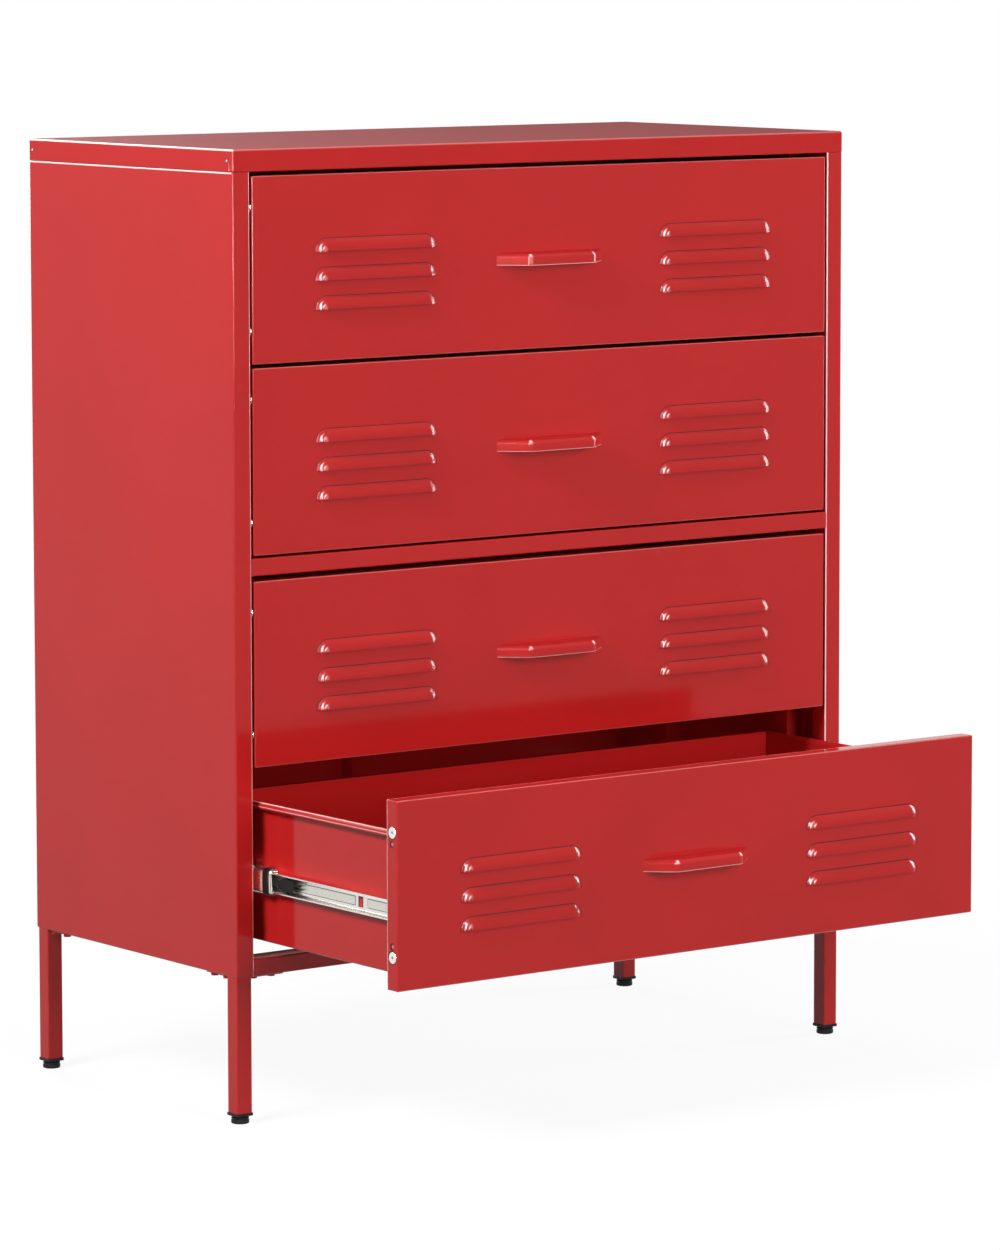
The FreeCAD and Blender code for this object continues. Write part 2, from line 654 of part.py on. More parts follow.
def make_leg_plugs():
    """Plugs pressed into the tubes, each with a flange under the tube and a bore for the stem."""
    body = new_body("leg_plugs")
    holes = []
    for name, side, rear in LEGS:
        middle_x, middle_y = leg_middle(side, rear)
        flange = size.leg_width / 2 + size.plug_edge
        insert = size.leg_width / 2 - size.leg_wall - size.sheet_gap
        part = name.title().replace("_", "")
        outline = rectangle(middle_x - flange, middle_x + flange, middle_y - flange,
                            middle_y + flange)
        pad(body, f"{part}Flange", "XY_Plane", [outline], size.leg_bottom - size.plug_flange,
            size.leg_bottom)
        outline = rectangle(middle_x - insert, middle_x + insert, middle_y - insert,
                            middle_y + insert)
        pad(body, f"{part}Insert", "XY_Plane", [outline], size.leg_bottom,
            size.leg_bottom + size.plug_insert)
        holes.append(disc(middle_x, middle_y, size.stem_radius + size.thread_play))
    cut(body, "StemBores", "XY_Plane", holes, size.leg_bottom - size.plug_flange,
        size.leg_bottom + size.plug_insert)
    place(body, y=front_shift)


def make_foot(name, side, rear):
    """Levelling foot turned from one profile: a disc with a bevelled edge on a threaded stem."""
    body = new_body(f"levelling_foot_{name}")
    middle_x, middle_y = leg_middle(side, rear)
    sketch = body.newObject("Sketcher::SketchObject", "ProfileSketch")
    sketch.AttachmentSupport = [(origin_item(body, "XZ_Plane"), "")]
    sketch.MapMode = "FlatFace"
    axis = as_size(0)
    profile = [(axis, axis), (size.foot_radius, axis),
               (size.foot_radius, size.foot_height - size.foot_bevel),
               (size.foot_radius - size.foot_bevel, size.foot_height),
               (size.stem_radius, size.foot_height), (size.stem_radius, size.stem_top),
               (axis, size.stem_top)]
    add_polygon(sketch, profile)
    turned = body.newObject("PartDesign::Revolution", "Turned")
    turned.Profile = sketch
    turned.ReferenceAxis = (sketch, ["V_Axis"])
    turned.Angle = 360
    body.setExpression("Placement.Base.x", middle_x.text)
    place(body, y=front_shift + middle_y)


def make_cabinet_screws():
    """Pan-head screws that hold the leg plates up to the panels and rails."""
    body = new_body("cabinet_screws")
    head_top = size.panel_bottom - size.plate_thick
    head_low = head_top - size.leg_screw_head_thick
    shank_top = size.panel_bottom + size.gauge + size.leg_screw_end
    heads = []
    shanks = []
    for _, side, rear in LEGS:
        for place_x, place_y in plate_screws(side, rear):
            heads.append(disc(place_x, place_y, size.leg_screw_head))
            shanks.append(disc(place_x, place_y, size.leg_screw))
    pad(body, "Heads", "XY_Plane", heads, head_low, head_top)
    pad(body, "Shanks", "XY_Plane", shanks, head_top, shank_top)
    place(body, y=front_shift)


def drawer_place(number, body):
    """Puts a body that was drawn from the drawer's front edge into the cabinet."""
    shift = front_shift + size.body_inset
    if number == OPEN_DRAWER:
        shift = shift - size.drawer_open
    place(body, y=shift, z=drawer_levels[number])


def add_louvre_section(sketch, level, lip):
    """Wall of a louvre cut across its length: two arcs about one centre behind the sheet.

    The wall ends at the height lip. The construction line is the axis that the ends turn about.
    """
    out, centre = size.louvre_out, louvre_back
    outer, inner = louvre_curve, louvre_hollow
    normal = FreeCAD.Vector(0, 0, 1)
    middle = FreeCAD.Vector(centre.value, level.value, 0)
    drop = lip - level
    outer_front = centre - (outer * outer - drop * drop).root()
    inner_front = centre - (inner * inner - drop * drop).root()
    points = [(outer_front, lip), (0, level + size.louvre_rise), (0, level + louvre_mouth),
              (inner_front, lip)]
    angles = [FreeCAD.Vector(1, 0, 0).getAngle(flat(point) - middle) for point in points]
    first = sketch.GeometryCount
    arcs = ((outer, angles[1], angles[0]), (inner, angles[2], angles[3]))
    for radius, start, end in arcs:
        circle = Part.Circle(middle, normal, radius.value)
        sketch.addGeometry(Part.ArcOfCircle(circle, start, end), False)
    sketch.addGeometry(Part.LineSegment(flat(points[1]), flat(points[2])), False)
    sketch.addGeometry(Part.LineSegment(flat(points[3]), flat(points[0])), False)
    joints = ((first, 1, first + 2, 1), (first + 2, 2, first + 1, 1),
              (first + 1, 2, first + 3, 1), (first + 3, 2, first, 2))
    for joint in joints:
        sketch.addConstraint(Sketcher.Constraint("Coincident", *joint))
    hold_point(sketch, first, 3, centre, level)
    sketch.addConstraint(Sketcher.Constraint("Coincident", first, 3, first + 1, 3))
    hold_radius(sketch, first, outer)
    hold_radius(sketch, first + 1, inner)
    sketch.addConstraint(Sketcher.Constraint("Vertical", first + 2))
    sketch.addConstraint(Sketcher.Constraint("Horizontal", first + 3))
    sketch.addConstraint(Sketcher.Constraint("PointOnObject", first, 1, -2))
    held = Sketcher.Constraint("DistanceY", -1, 1, first, 2, lip.value)
    sketch.setExpression(f"Constraints[{sketch.addConstraint(held)}]", lip.text)
    axis = Part.LineSegment(flat((-out, level)), flat((centre, level)))
    line = sketch.addGeometry(axis, True)
    hold_point(sketch, line, 1, -out, level)
    hold_point(sketch, line, 2, centre, level)


def add_louvre_opening(sketch, left, right, level, radius):
    """Opening behind a louvre: straight lower edge, quarter-round upper corners."""
    high = level + radius
    normal = FreeCAD.Vector(0, 0, 1)
    quarter = math.pi / 2
    first = sketch.GeometryCount
    inner_left, inner_right = left + radius, right - radius
    sketch.addGeometry(Part.LineSegment(flat((left, level)), flat((right, level))), False)
    circle = Part.Circle(flat((inner_right, level)), normal, radius.value)
    sketch.addGeometry(Part.ArcOfCircle(circle, 0, quarter), False)
    sketch.addGeometry(Part.LineSegment(flat((inner_right, high)), flat((inner_left, high))), False)
    circle = Part.Circle(flat((inner_left, level)), normal, radius.value)
    sketch.addGeometry(Part.ArcOfCircle(circle, quarter, 2 * quarter), False)
    joints = ((first, 2, first + 1, 1), (first + 1, 2, first + 2, 1),
              (first + 2, 2, first + 3, 1), (first + 3, 2, first, 1))
    for joint in joints:
        sketch.addConstraint(Sketcher.Constraint("Coincident", *joint))
    for arc, middle, low_end, high_end in ((first + 1, inner_right, 1, 2),
                                           (first + 3, inner_left, 2, 1)):
        hold_point(sketch, arc, 3, middle, level)
        hold_radius(sketch, arc, radius)
        sketch.addConstraint(Sketcher.Constraint("Horizontal", arc, 3, arc, low_end))
        sketch.addConstraint(Sketcher.Constraint("Vertical", arc, 3, arc, high_end))


def add_louvres(body):
    """Two banks of louvres: one louvre is made, then repeated upwards and mirrored."""
    level = size.louvre_low
    half = size.louvre_length / 2 - size.louvre_rise
    ends = {"Left": -size.louvre_centre - half, "Right": half - size.louvre_centre}
    section = new_sketch(body, "LouvreSketch", "YZ_Plane", ends["Left"])
    add_louvre_section(section, level, level)
    hood = body.newObject("PartDesign::Pad", "LouvreHood")
    hood.Profile = section
    hood.Length = (half * 2).value
    hood.setExpression("Length", (half * 2).text)
    originals = [hood]
    for name, place_x in ends.items():
        turned = new_sketch(body, f"Louvre{name}Sketch", "YZ_Plane", place_x)
        add_louvre_section(turned, level, level + size.louvre_notch)
        end = body.newObject("PartDesign::Revolution", f"Louvre{name}End")
        end.Profile = turned
        end.ReferenceAxis = (turned, ["Axis0"])
        end.Angle = 90
        end.Reversed = name == "Left"
        originals.append(end)
    opening = new_sketch(body, "LouvreOpeningSketch", "XZ_Plane", as_size(0))
    add_louvre_opening(opening, ends["Left"] - louvre_mouth, ends["Right"] + louvre_mouth, level,
                       louvre_mouth)
    slot = body.newObject("PartDesign::Pocket", "LouvreOpening")
    slot.Profile = opening
    slot.Length = size.gauge.value
    slot.setExpression("Length", size.gauge.text)
    originals.append(slot)
    doc.recompute()
    banks = body.newObject("PartDesign::MultiTransform", "LouvreBanks")
    banks.Originals = originals
    stack = body.newObject("PartDesign::LinearPattern", "LouvreStack")
    stack.Direction = (opening, ["V_Axis"])
    stack.Length = (size.louvre_pitch * 2).value
    stack.setExpression("Length", (size.louvre_pitch * 2).text)
    stack.Occurrences = 3
    mirror = body.newObject("PartDesign::Mirrored", "LouvreMirror")
    mirror.MirrorPlane = (origin_item(body, "YZ_Plane"), [""])
    banks.Transformations = [stack, mirror]
    body.Tip = banks


def make_drawer_front(number):
    """Pan with four folded edges, two banks of louvres, screw and pilot holes in its side folds."""
    body = new_body(f"drawer_{number}_front")
    outside = rectangle(-drawer_half, drawer_half, 0, size.drawer_height)
    pad(body, "Pan", "XZ_Plane", [outside], 0, size.front_flange)
    upright = edges_at(body, "z", x=(-drawer_half, drawer_half), y=(0,))
    level = edges_at(body, "x", y=(0,), z=(0, size.drawer_height))
    fillet(body, "FrontFolds", size.gauge, upright + level)
    inner_x = drawer_half - size.gauge
    inside = rectangle(-inner_x, inner_x, size.gauge, size.drawer_height - size.gauge)
    cut(body, "Inside", "XZ_Plane", [inside], size.gauge, size.front_flange)
    holes = []
    for screw, step in ((size.corner_screw_low, size.pilot_step),
                        (size.corner_screw_high, -size.pilot_step)):
        radius = size.screw_radius + size.screw_play
        holes.append(disc(size.corner_screw_depth, screw, radius))
        holes.append(disc(size.corner_screw_depth, screw + step, size.pilot_radius))
    for name, side in SIDES:
        near, far = sorted((drawer_half * side, inner_x * side), key=lambda limit: limit.value)
        cut(body, f"{name.capitalize()}FoldHoles", "YZ_Plane", holes, near, far)
    screw_level = size.handle_level + size.boss_level
    radius = size.handle_screw + size.screw_play
    pair = [disc(size.boss_spacing / 2 * side, screw_level, radius) for _, side in SIDES]
    cut(body, "HandleHoles", "XZ_Plane", pair, 0, size.gauge)
    add_louvres(body)
    drawer_place(number, body)


def make_handle(number):
    """Pull with a trapezoid plan, closed on top and open underneath for the fingers."""
    body = new_body(f"drawer_{number}_handle")
    low = size.handle_level
    high = low + size.handle_height
    end, corner, out = size.handle_length / 2, size.handle_flat / 2, size.handle_out
    plan = [(-end, 0), (-corner, -out), (corner, -out), (end, 0)]
    pad(body, "Block", "XY_Plane", [plan], low, high)
    corners = edges_at(body, "z", x=(-corner, corner), y=(-out,))
    fillet(body, "Corners", size.handle_corner, corners)
    doc.recompute()
    rim = [f"Edge{index}" for index, edge in enumerate(body.Tip.Shape.Edges, 1)
           if abs(edge.BoundBox.ZMin - high.value) < TOLERANCE
           and not abs(edge.BoundBox.YMin - edge.BoundBox.YMax) < TOLERANCE]
    front = edges_at(body, "x", y=(-out,), z=(high,))
    fillet(body, "UpperEdge", size.handle_edge, sorted(set(rim + front)))
    wall = size.handle_wall
    slope = (end - corner) / out
    slant = (slope * slope + 1).root() * wall
    inner_end = end - slant
    inner_corner = inner_end - slope * (out - wall)
    hollow = [(-inner_end, 0), (-inner_corner, wall - out), (inner_corner, wall - out),
              (inner_end, 0)]
    cut(body, "Hollow", "XY_Plane", [hollow], low, high - wall)
    half_boss = size.boss_width / 2
    bosses = [rectangle(size.boss_spacing / 2 * side - half_boss,
                        size.boss_spacing / 2 * side + half_boss,
                        low + size.boss_level - half_boss, high - wall) for _, side in SIDES]
    pad(body, "Bosses", "XZ_Plane", bosses, -size.boss_length, 0)
    pair = [disc(size.boss_spacing / 2 * side, low + size.boss_level,
                 size.handle_screw + size.thread_play) for _, side in SIDES]
    cut(body, "Threads", "XZ_Plane", pair, -size.boss_length, 0)
    drawer_place(number, body)


def make_drawer_side(number, name, side):
    """Side with a rolled top edge, a bottom flange and a front fold that meets the front's flange."""
    body = new_body(f"drawer_{number}_side_{name}")
    inner = box_half - size.gauge
    fold_outer = drawer_half - size.gauge - size.sheet_gap
    fold_inner = fold_outer - size.gauge
    fold_back = size.front_flange
    fold_front = fold_back - size.gauge
    low = size.box_low
    web = rectangle(box_half * side, inner * side, low, size.bead_level)
    flange = rectangle(inner * side, (box_half - size.side_flange) * side, low, low + size.gauge)
    pad(body, "Web", "XZ_Plane", [web], fold_front, size.box_depth)
    pad(body, "BottomFlange", "XZ_Plane", [flange], fold_back, size.box_depth)
    shelf = rectangle(inner * side, fold_outer * side, low + size.gauge, size.fold_top)
    pad(body, "FrontReturn", "XZ_Plane", [shelf], fold_front, fold_back)
    cheek = rectangle(fold_outer * side, fold_inner * side, low + size.gauge * 2, size.fold_top)
    pad(body, "FrontFlange", "XZ_Plane", [cheek], size.gauge * 2, fold_front)
    bead_x = (inner + size.bead_radius) * side
    bead = disc(bead_x, size.bead_level, size.bead_radius)
    pad(body, "Bead", "XZ_Plane", [bead], fold_back, size.box_depth)
    hollow = disc(bead_x, size.bead_level, size.bead_radius - size.gauge)
    cut(body, "BeadHollow", "XZ_Plane", [hollow], fold_back, size.box_depth)
    radius = size.screw_radius + size.screw_play
    holes = [disc(size.corner_screw_depth, level, radius)
             for level in (size.corner_screw_low, size.corner_screw_high)]
    near, far = sorted((fold_inner * side, fold_outer * side), key=lambda limit: limit.value)
    cut(body, "ScrewHoles", "YZ_Plane", holes, near, far)
    tab_middle = size.slide_start + size.slot_back
    half_tab = size.slot_width / 2 - size.tab_play
    tab_height = size.slot_height / 2 - size.tab_play
    tab = rectangle(tab_middle - half_tab, tab_middle + half_tab,
                    size.slide_level - tab_height, size.slide_level + tab_height)
    near, far = sorted((box_half * side, (box_half + size.slide_gauge) * side),
                       key=lambda limit: limit.value)
    pad(body, "SlideTab", "YZ_Plane", [tab], near, far)
    drawer_place(number, body)


def make_drawer_back(number):
    """Back between the sides, with flanges turned to the rear against them and along its top."""
    body = new_body(f"drawer_{number}_back")
    half = box_half - size.gauge - size.edge_gap
    rear = size.box_depth
    face = rear - size.back_flanges
    low = size.box_low + size.gauge * 2 + size.sheet_gap
    high = size.bead_level + size.bead_radius
    outside = rectangle(-half, half, low, high)
    pad(body, "Sheet", "XZ_Plane", [outside], face, rear)
    inner = half - size.gauge
    inside = rectangle(-inner, inner, low, high - size.gauge)
    cut(body, "Inside", "XZ_Plane", [inside], face + size.gauge, rear)
    folds = edges_at(body, "x", y=(face,), z=(high,))
    fillet(body, "TopFold", size.gauge, folds)
    drawer_place(number, body)


def make_drawer_bottom(number):
    """Flat bottom that rests on the flanges of the sides."""
    body = new_body(f"drawer_{number}_bottom")
    half = box_half - size.gauge - size.edge_gap
    low = size.box_low + size.gauge
    plan = rectangle(-half, half, size.gauge + size.sheet_gap, size.box_depth)
    pad(body, "Sheet", "XY_Plane", [plan], low, low + size.gauge)
    drawer_place(number, body)


def make_drawer_screws(number):
    """Large flat-head screws at the corners of the front, and the two screws of the pull."""
    body = new_body(f"drawer_{number}_screws")
    for name, side in SIDES:
        heads = [disc(size.corner_screw_depth, level, size.screw_head)
                 for level in (size.corner_screw_low, size.corner_screw_high)]
        shanks = [disc(size.corner_screw_depth, level, size.screw_radius)
                  for level in (size.corner_screw_low, size.corner_screw_high)]
        outer = (drawer_half + size.screw_head_thick) * side
        face = drawer_half * side
        inner = (drawer_half - size.corner_screw_end) * side
        label = name.capitalize()
        near, far = sorted((outer, face), key=lambda limit: limit.value)
        pad(body, f"{label}Heads", "YZ_Plane", heads, near, far)
        near, far = sorted((face, inner), key=lambda limit: limit.value)
        pad(body, f"{label}Shanks", "YZ_Plane", shanks, near, far)
        recess = (drawer_half + size.screw_head_thick - size.recess_depth) * side
        near, far = sorted((outer, recess), key=lambda limit: limit.value)
        for level_name, level in (("Low", size.corner_screw_low), ("High", size.corner_screw_high)):
            arm, thin = size.recess_arm, size.recess_half
            middle = size.corner_screw_depth
            cross = [(middle - arm, level - thin), (middle - thin, level - thin),
                     (middle - thin, level - arm), (middle + thin, level - arm),
                     (middle + thin, level - thin), (middle + arm, level - thin),
                     (middle + arm, level + thin), (middle + thin, level + thin),
                     (middle + thin, level + arm), (middle - thin, level + arm),
                     (middle - thin, level + thin), (middle - arm, level + thin)]
            cut(body, f"{label}{level_name}Cross", "YZ_Plane", [cross], near, far)
    screw_level = size.handle_level + size.boss_level
    heads = [disc(size.boss_spacing / 2 * side, screw_level, size.handle_screw_head)
             for _, side in SIDES]
    shanks = [disc(size.boss_spacing / 2 * side, screw_level, size.handle_screw)
              for _, side in SIDES]
    pad(body, "HandleHeads", "XZ_Plane", heads, size.gauge,
        size.gauge + size.handle_screw_head_thick)
    pad(body, "HandleShanks", "XZ_Plane", shanks, size.handle_screw_short - size.boss_length,
        size.gauge)
    drawer_place(number, body)


def make_drawer_runners(number):
    """Drawer members of the slides, hooked on the tabs of the sides, with the levers' studs."""
    body = new_body(f"drawer_{number}_runners")
    tip = box_half + size.inner_reach
    start = size.slide_start
    end = start + size.slide_length
    for name, side in SIDES:
        label = name.capitalize()
        section = channel(box_half * side, tip * side, size.slide_level, size.inner_height,
                          size.slide_gauge)
        pad(body, f"{label}Channel", "XZ_Plane", [section], start, end)
        folds = edges_at(body, "y", x=(box_half * side,),
                         z=(size.slide_level - size.inner_height / 2,
                            size.slide_level + size.inner_height / 2))
        fillet(body, f"{label}Folds", size.slide_bend, folds)
        slot_middle = start + size.slot_back
        half_slot = size.slot_width / 2
        slot = rectangle(slot_middle - half_slot, slot_middle + half_slot,
                         size.slide_level - size.slot_height / 2,
                         size.slide_level + size.slot_height / 2)
        near, far = sorted((box_half * side, (box_half + size.slide_gauge) * side),
                           key=lambda limit: limit.value)
        cut(body, f"{label}Slot", "YZ_Plane", [slot], near, far)
        stud = disc(size.lever_pivot, size.slide_level, size.pivot_radius)
        stud_tip = (tip - size.stud_short) * side
        near, far = sorted(((box_half + size.slide_gauge) * side, stud_tip),
                           key=lambda limit: limit.value)
        pad(body, f"{label}Stud", "YZ_Plane", [stud], near, far)
    drawer_place(number, body)


def add_cage(body, label, side, web, reach, half_height, ball_radius, start):
    """Ball cage: a thin channel with a row of balls in each of its flanges."""
    gauge = size.cage_gauge
    section = channel(web * side, (web - reach) * side, size.slide_level,
                      half_height * 2, gauge)
    pad(body, label, "XZ_Plane", [section], start, start + size.cage_length)
    ball_x = (web - reach / 2) * side
    first_y = start + size.ball_pitch
    originals = []
    for row, sign in (("Low", -1), ("High", 1)):
        level = size.slide_level + (half_height - gauge / 2) * sign
        ball = body.newObject("PartDesign::AdditiveSphere", f"{label}{row}Ball")
        ball.AttachmentSupport = [(origin_item(body, "XY_Plane"), "")]
        ball.MapMode = "FlatFace"
        ball.Radius = ball_radius.value
        ball.setExpression("Radius", ball_radius.text)
        for axis, distance in (("x", ball_x), ("y", first_y), ("z", level)):
            ball.setExpression(f"AttachmentOffset.Base.{axis}", distance.text)
        originals.append(ball)
    doc.recompute()
    row = body.newObject("PartDesign::LinearPattern", f"{label}Balls")
    row.Originals = originals
    row.Direction = (origin_item(body, "Y_Axis"), [""])
    row.Length = (size.ball_pitch * (BALLS_IN_ROW - 1)).value
    row.setExpression("Length", (size.ball_pitch * (BALLS_IN_ROW - 1)).text)
    row.Occurrences = BALLS_IN_ROW
    body.Tip = row


def make_mid_runners(number):
    """Intermediate members, open towards the drawer, each with its two ball cages."""
    body = new_body(f"drawer_{number}_mid_runners")
    web = box_half + size.middle_start + size.middle_reach
    tip = box_half + size.middle_start
    start = size.slide_start + size.middle_setback
    end = start + size.slide_length - size.middle_shorter
    for name, side in SIDES:
        label = name.capitalize()
        section = channel(web * side, tip * side, size.slide_level, size.middle_height,
                          size.slide_gauge)
        pad(body, f"{label}Channel", "XZ_Plane", [section], start, end)
        folds = edges_at(body, "y", x=(web * side,),
                         z=(size.slide_level - size.middle_height / 2,
                            size.slide_level + size.middle_height / 2))
        fillet(body, f"{label}Folds", size.slide_bend, folds)
    for name, side in SIDES:
        label = name.capitalize()
        inner_web = web - size.slide_gauge - size.inner_cage_gap
        add_cage(body, f"{label}InnerCage", side, inner_web,
                 inner_web - tip - size.inner_cage_tip, size.inner_cage_half, size.inner_ball,
                 start + size.inner_cage_front)
        add_cage(body, f"{label}OuterCage", side, web + size.outer_cage_gap,
                 size.outer_cage_reach, size.outer_cage_half, size.outer_ball,
                 end - size.cage_length - size.outer_cage_rear)
    shift = front_shift + size.body_inset
    if number == OPEN_DRAWER:
        shift = shift - size.mid_open
    place(body, y=shift, z=drawer_levels[number])


def make_release_levers(number):
    """Pivoted levers in the drawer members: pressing both lets the drawer come off its slides."""
    body = new_body(f"drawer_{number}_release_levers")
    inner = box_half + size.slide_gauge + size.lever_inside
    outer = box_half + size.inner_reach - size.lever_outside
    level = size.slide_level
    half, waist, gap = size.lever_half, size.lever_waist, size.lever_slit
    taper = size.lever_rear - size.lever_taper
    for name, side in SIDES:
        label = name.capitalize()
        near, far = sorted((inner * side, outer * side), key=lambda limit: limit.value)
        outline = [(size.lever_rear, level - waist), (size.lever_rear, level + waist),
                   (taper, level + half), (size.lever_front, level + half),
                   (size.lever_front, level + waist), (size.lever_tip, level + waist),
                   (size.lever_tip, level + gap), (size.lever_front, level + gap),
                   (size.lever_front, level - gap), (size.lever_tip, level - gap),
                   (size.lever_tip, level - waist), (size.lever_front, level - waist),
                   (size.lever_front, level - half), (taper, level - half)]
        pad(body, f"{label}Lever", "YZ_Plane", [outline], near, far)
        bore = disc(size.lever_pivot, level, size.pivot_radius + size.pivot_play)
        cut(body, f"{label}Bore", "YZ_Plane", [bore], near, far)
    drawer_place(number, body)


def make_drawer(number):
    make_drawer_front(number)
    make_handle(number)
    for name, side in SIDES:
        make_drawer_side(number, name, side)
    make_drawer_back(number)
    make_drawer_bottom(number)
    make_drawer_screws(number)
    make_drawer_runners(number)
    make_mid_runners(number)
    make_release_levers(number)


def make_cabinet():
    make_top_panel()
    for name, side in SIDES:
        make_side_panel(name, side)
    make_back_panels()
    make_rails()
    make_slide_brackets()
    make_cabinet_runners()
    for name, side, rear in LEGS:
        make_leg(name, side, rear)
        make_foot(name, side, rear)
    make_leg_plugs()
    make_cabinet_screws()


def check_and_export():
    """Stops on any failed feature or bad shape, then writes one file for each body."""
    doc.recompute()
    for item in doc.Objects:
        if "Invalid" in item.State or "Error" in item.State:
            raise RuntimeError(f"{item.Label} failed: {item.State}")
    bodies = [item for item in doc.Objects if item.TypeId == "PartDesign::Body"]
    os.makedirs("parts", exist_ok=True)
    for body in bodies:
        shape = body.Shape
        if shape.isNull() or not shape.isValid() or not shape.Solids:
            raise RuntimeError(f"{body.Label} has no valid solid")
        shape.exportStep(f"parts/{body.Label}.step")
        box = shape.BoundBox
        print(f"{body.Label}: {len(shape.Solids)} solids, {shape.Volume / 1000:.1f} cm3, "
              f"x {box.XMin:.1f}..{box.XMax:.1f} y {box.YMin:.1f}..{box.YMax:.1f} "
              f"z {box.ZMin:.1f}..{box.ZMax:.1f}")
    print(f"{len(bodies)} bodies")


make_cabinet()
for drawer_number in drawer_levels:
    make_drawer(drawer_number)
check_and_export()
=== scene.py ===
"""Metal drawer cabinet: folded sheets, finishes, light and camera around the CAD frame."""

import math

import bpy
import numpy as np
from mathutils import Matrix, Vector


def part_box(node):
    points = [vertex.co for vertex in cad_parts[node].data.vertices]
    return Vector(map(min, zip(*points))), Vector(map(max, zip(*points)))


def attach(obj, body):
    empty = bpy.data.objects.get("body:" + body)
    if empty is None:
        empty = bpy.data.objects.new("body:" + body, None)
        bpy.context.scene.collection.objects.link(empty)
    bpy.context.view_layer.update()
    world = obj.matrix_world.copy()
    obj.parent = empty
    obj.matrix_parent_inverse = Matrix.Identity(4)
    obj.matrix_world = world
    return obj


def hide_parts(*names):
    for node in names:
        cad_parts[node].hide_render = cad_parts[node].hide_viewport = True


bl_info = {
    "name": "Metal Drawer Cabinet",
    "version": (1, 0, 0),
    "blender": (4, 5, 0),
    "location": "3D View > Sidebar > Cabinet",
    "description": "Dresses the drawer cabinet in pressed sheet, powder coat, zinc and plastic",
    "category": "Object",
}

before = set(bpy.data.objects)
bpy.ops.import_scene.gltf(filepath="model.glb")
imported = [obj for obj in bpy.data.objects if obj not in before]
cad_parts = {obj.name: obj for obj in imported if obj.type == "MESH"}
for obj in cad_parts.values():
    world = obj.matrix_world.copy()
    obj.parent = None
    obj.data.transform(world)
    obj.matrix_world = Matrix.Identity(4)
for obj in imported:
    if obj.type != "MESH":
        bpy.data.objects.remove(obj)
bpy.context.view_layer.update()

DRAWERS = (1, 2, 3, 4)
SIDES = (("left", -1), ("right", 1))
CORNERS = ("front_left", "front_right", "rear_left", "rear_right")
MICRON = 1e-6
BEND_STEPS = 6
CORNER_STEPS = 5
QUARTER_POINTS = 8
CREASE = math.radians(38)       # folds steeper than this keep a sharp edge
# Tone of the painted shade in a groove
GROOVE_TONE = 0.85


# Surfaces

class Surface:
    """Grids of points and single polygons that are welded into one mesh where they meet."""

    def __init__(self):
        self.points, self.tones, self.quads, self.polygons = [], [], [], []
        self.count = 0

    def keep(self, points, tone=0.0):
        """Store points with their tones; the number of the first one is returned."""
        first = self.count
        self.tones.append(np.broadcast_to(tone, points.shape[:-1]).ravel())
        self.points.append(points.reshape(-1, 3))
        self.count += len(self.points[-1])
        return first

    def grid(self, points, flip=False, wrap=False, tone=0.0):
        """Rows of points. Seen from outside, columns run to the right of rows that run up.

        The tone of a point is 1 for painted shade in a groove, -1 for a painted highlight on an
        edge and 0 elsewhere.
        """
        points = np.asarray(points, float)
        tone = np.broadcast_to(tone, points.shape[:2])
        if wrap:
            points = np.concatenate([points, points[:, :1]], axis=1)
            tone = np.concatenate([tone, tone[:, :1]], axis=1)
        rows, columns = points.shape[:2]
        index = np.arange(rows * columns).reshape(rows, columns) + self.keep(points, tone)
        quads = np.stack([index[:-1, :-1], index[:-1, 1:], index[1:, 1:], index[1:, :-1]], -1)
        quads = quads.reshape(-1, 4)
        self.quads.append(quads[:, ::-1] if flip else quads)

    def polygon(self, points, flip=False):
        """One face with any number of corners, anticlockwise as seen from outside."""
        points = np.asarray(points, float)
        index = (np.arange(len(points)) + self.keep(points)).tolist()
        self.polygons.append(index[::-1] if flip else index)

    def mesh(self, name):
        """Points nearer than a micron become one, and a side that shrinks to nothing is dropped."""
        points = np.concatenate(self.points)
        keys = np.round(points / MICRON).astype(np.int64)
        _, first, where = np.unique(keys, axis=0, return_index=True, return_inverse=True)
        where = where.reshape(-1)
        rounds = [where[polygon] for polygon in self.polygons]
        faces = [turn[turn != np.roll(turn, 1)].tolist() for turn in rounds]
        if self.quads:
            quads = where[np.concatenate(self.quads)]
            shrunk = quads == np.roll(quads, -1, axis=1)
            faces += quads[~shrunk.any(axis=1)].tolist()
            for side in range(4):
                corner = np.delete(quads[shrunk[:, side] & (shrunk.sum(axis=1) == 1)], side, 1)
                faces += corner.tolist()
        mesh = bpy.data.meshes.new(name)
        mesh.from_pydata(points[first].tolist(), [], faces)
        tones = np.concatenate(self.tones)
        # Painted shade and painted highlight: where points meet, the deepest shade and the
        # brightest highlight are kept
        dark, bright = np.zeros(len(first)), np.zeros(len(first))
        np.maximum.at(dark, where, tones)
        np.minimum.at(bright, where, tones)
        mesh.attributes.new("tone", "FLOAT", "POINT").data.foreach_set("value", dark + bright)
        return mesh


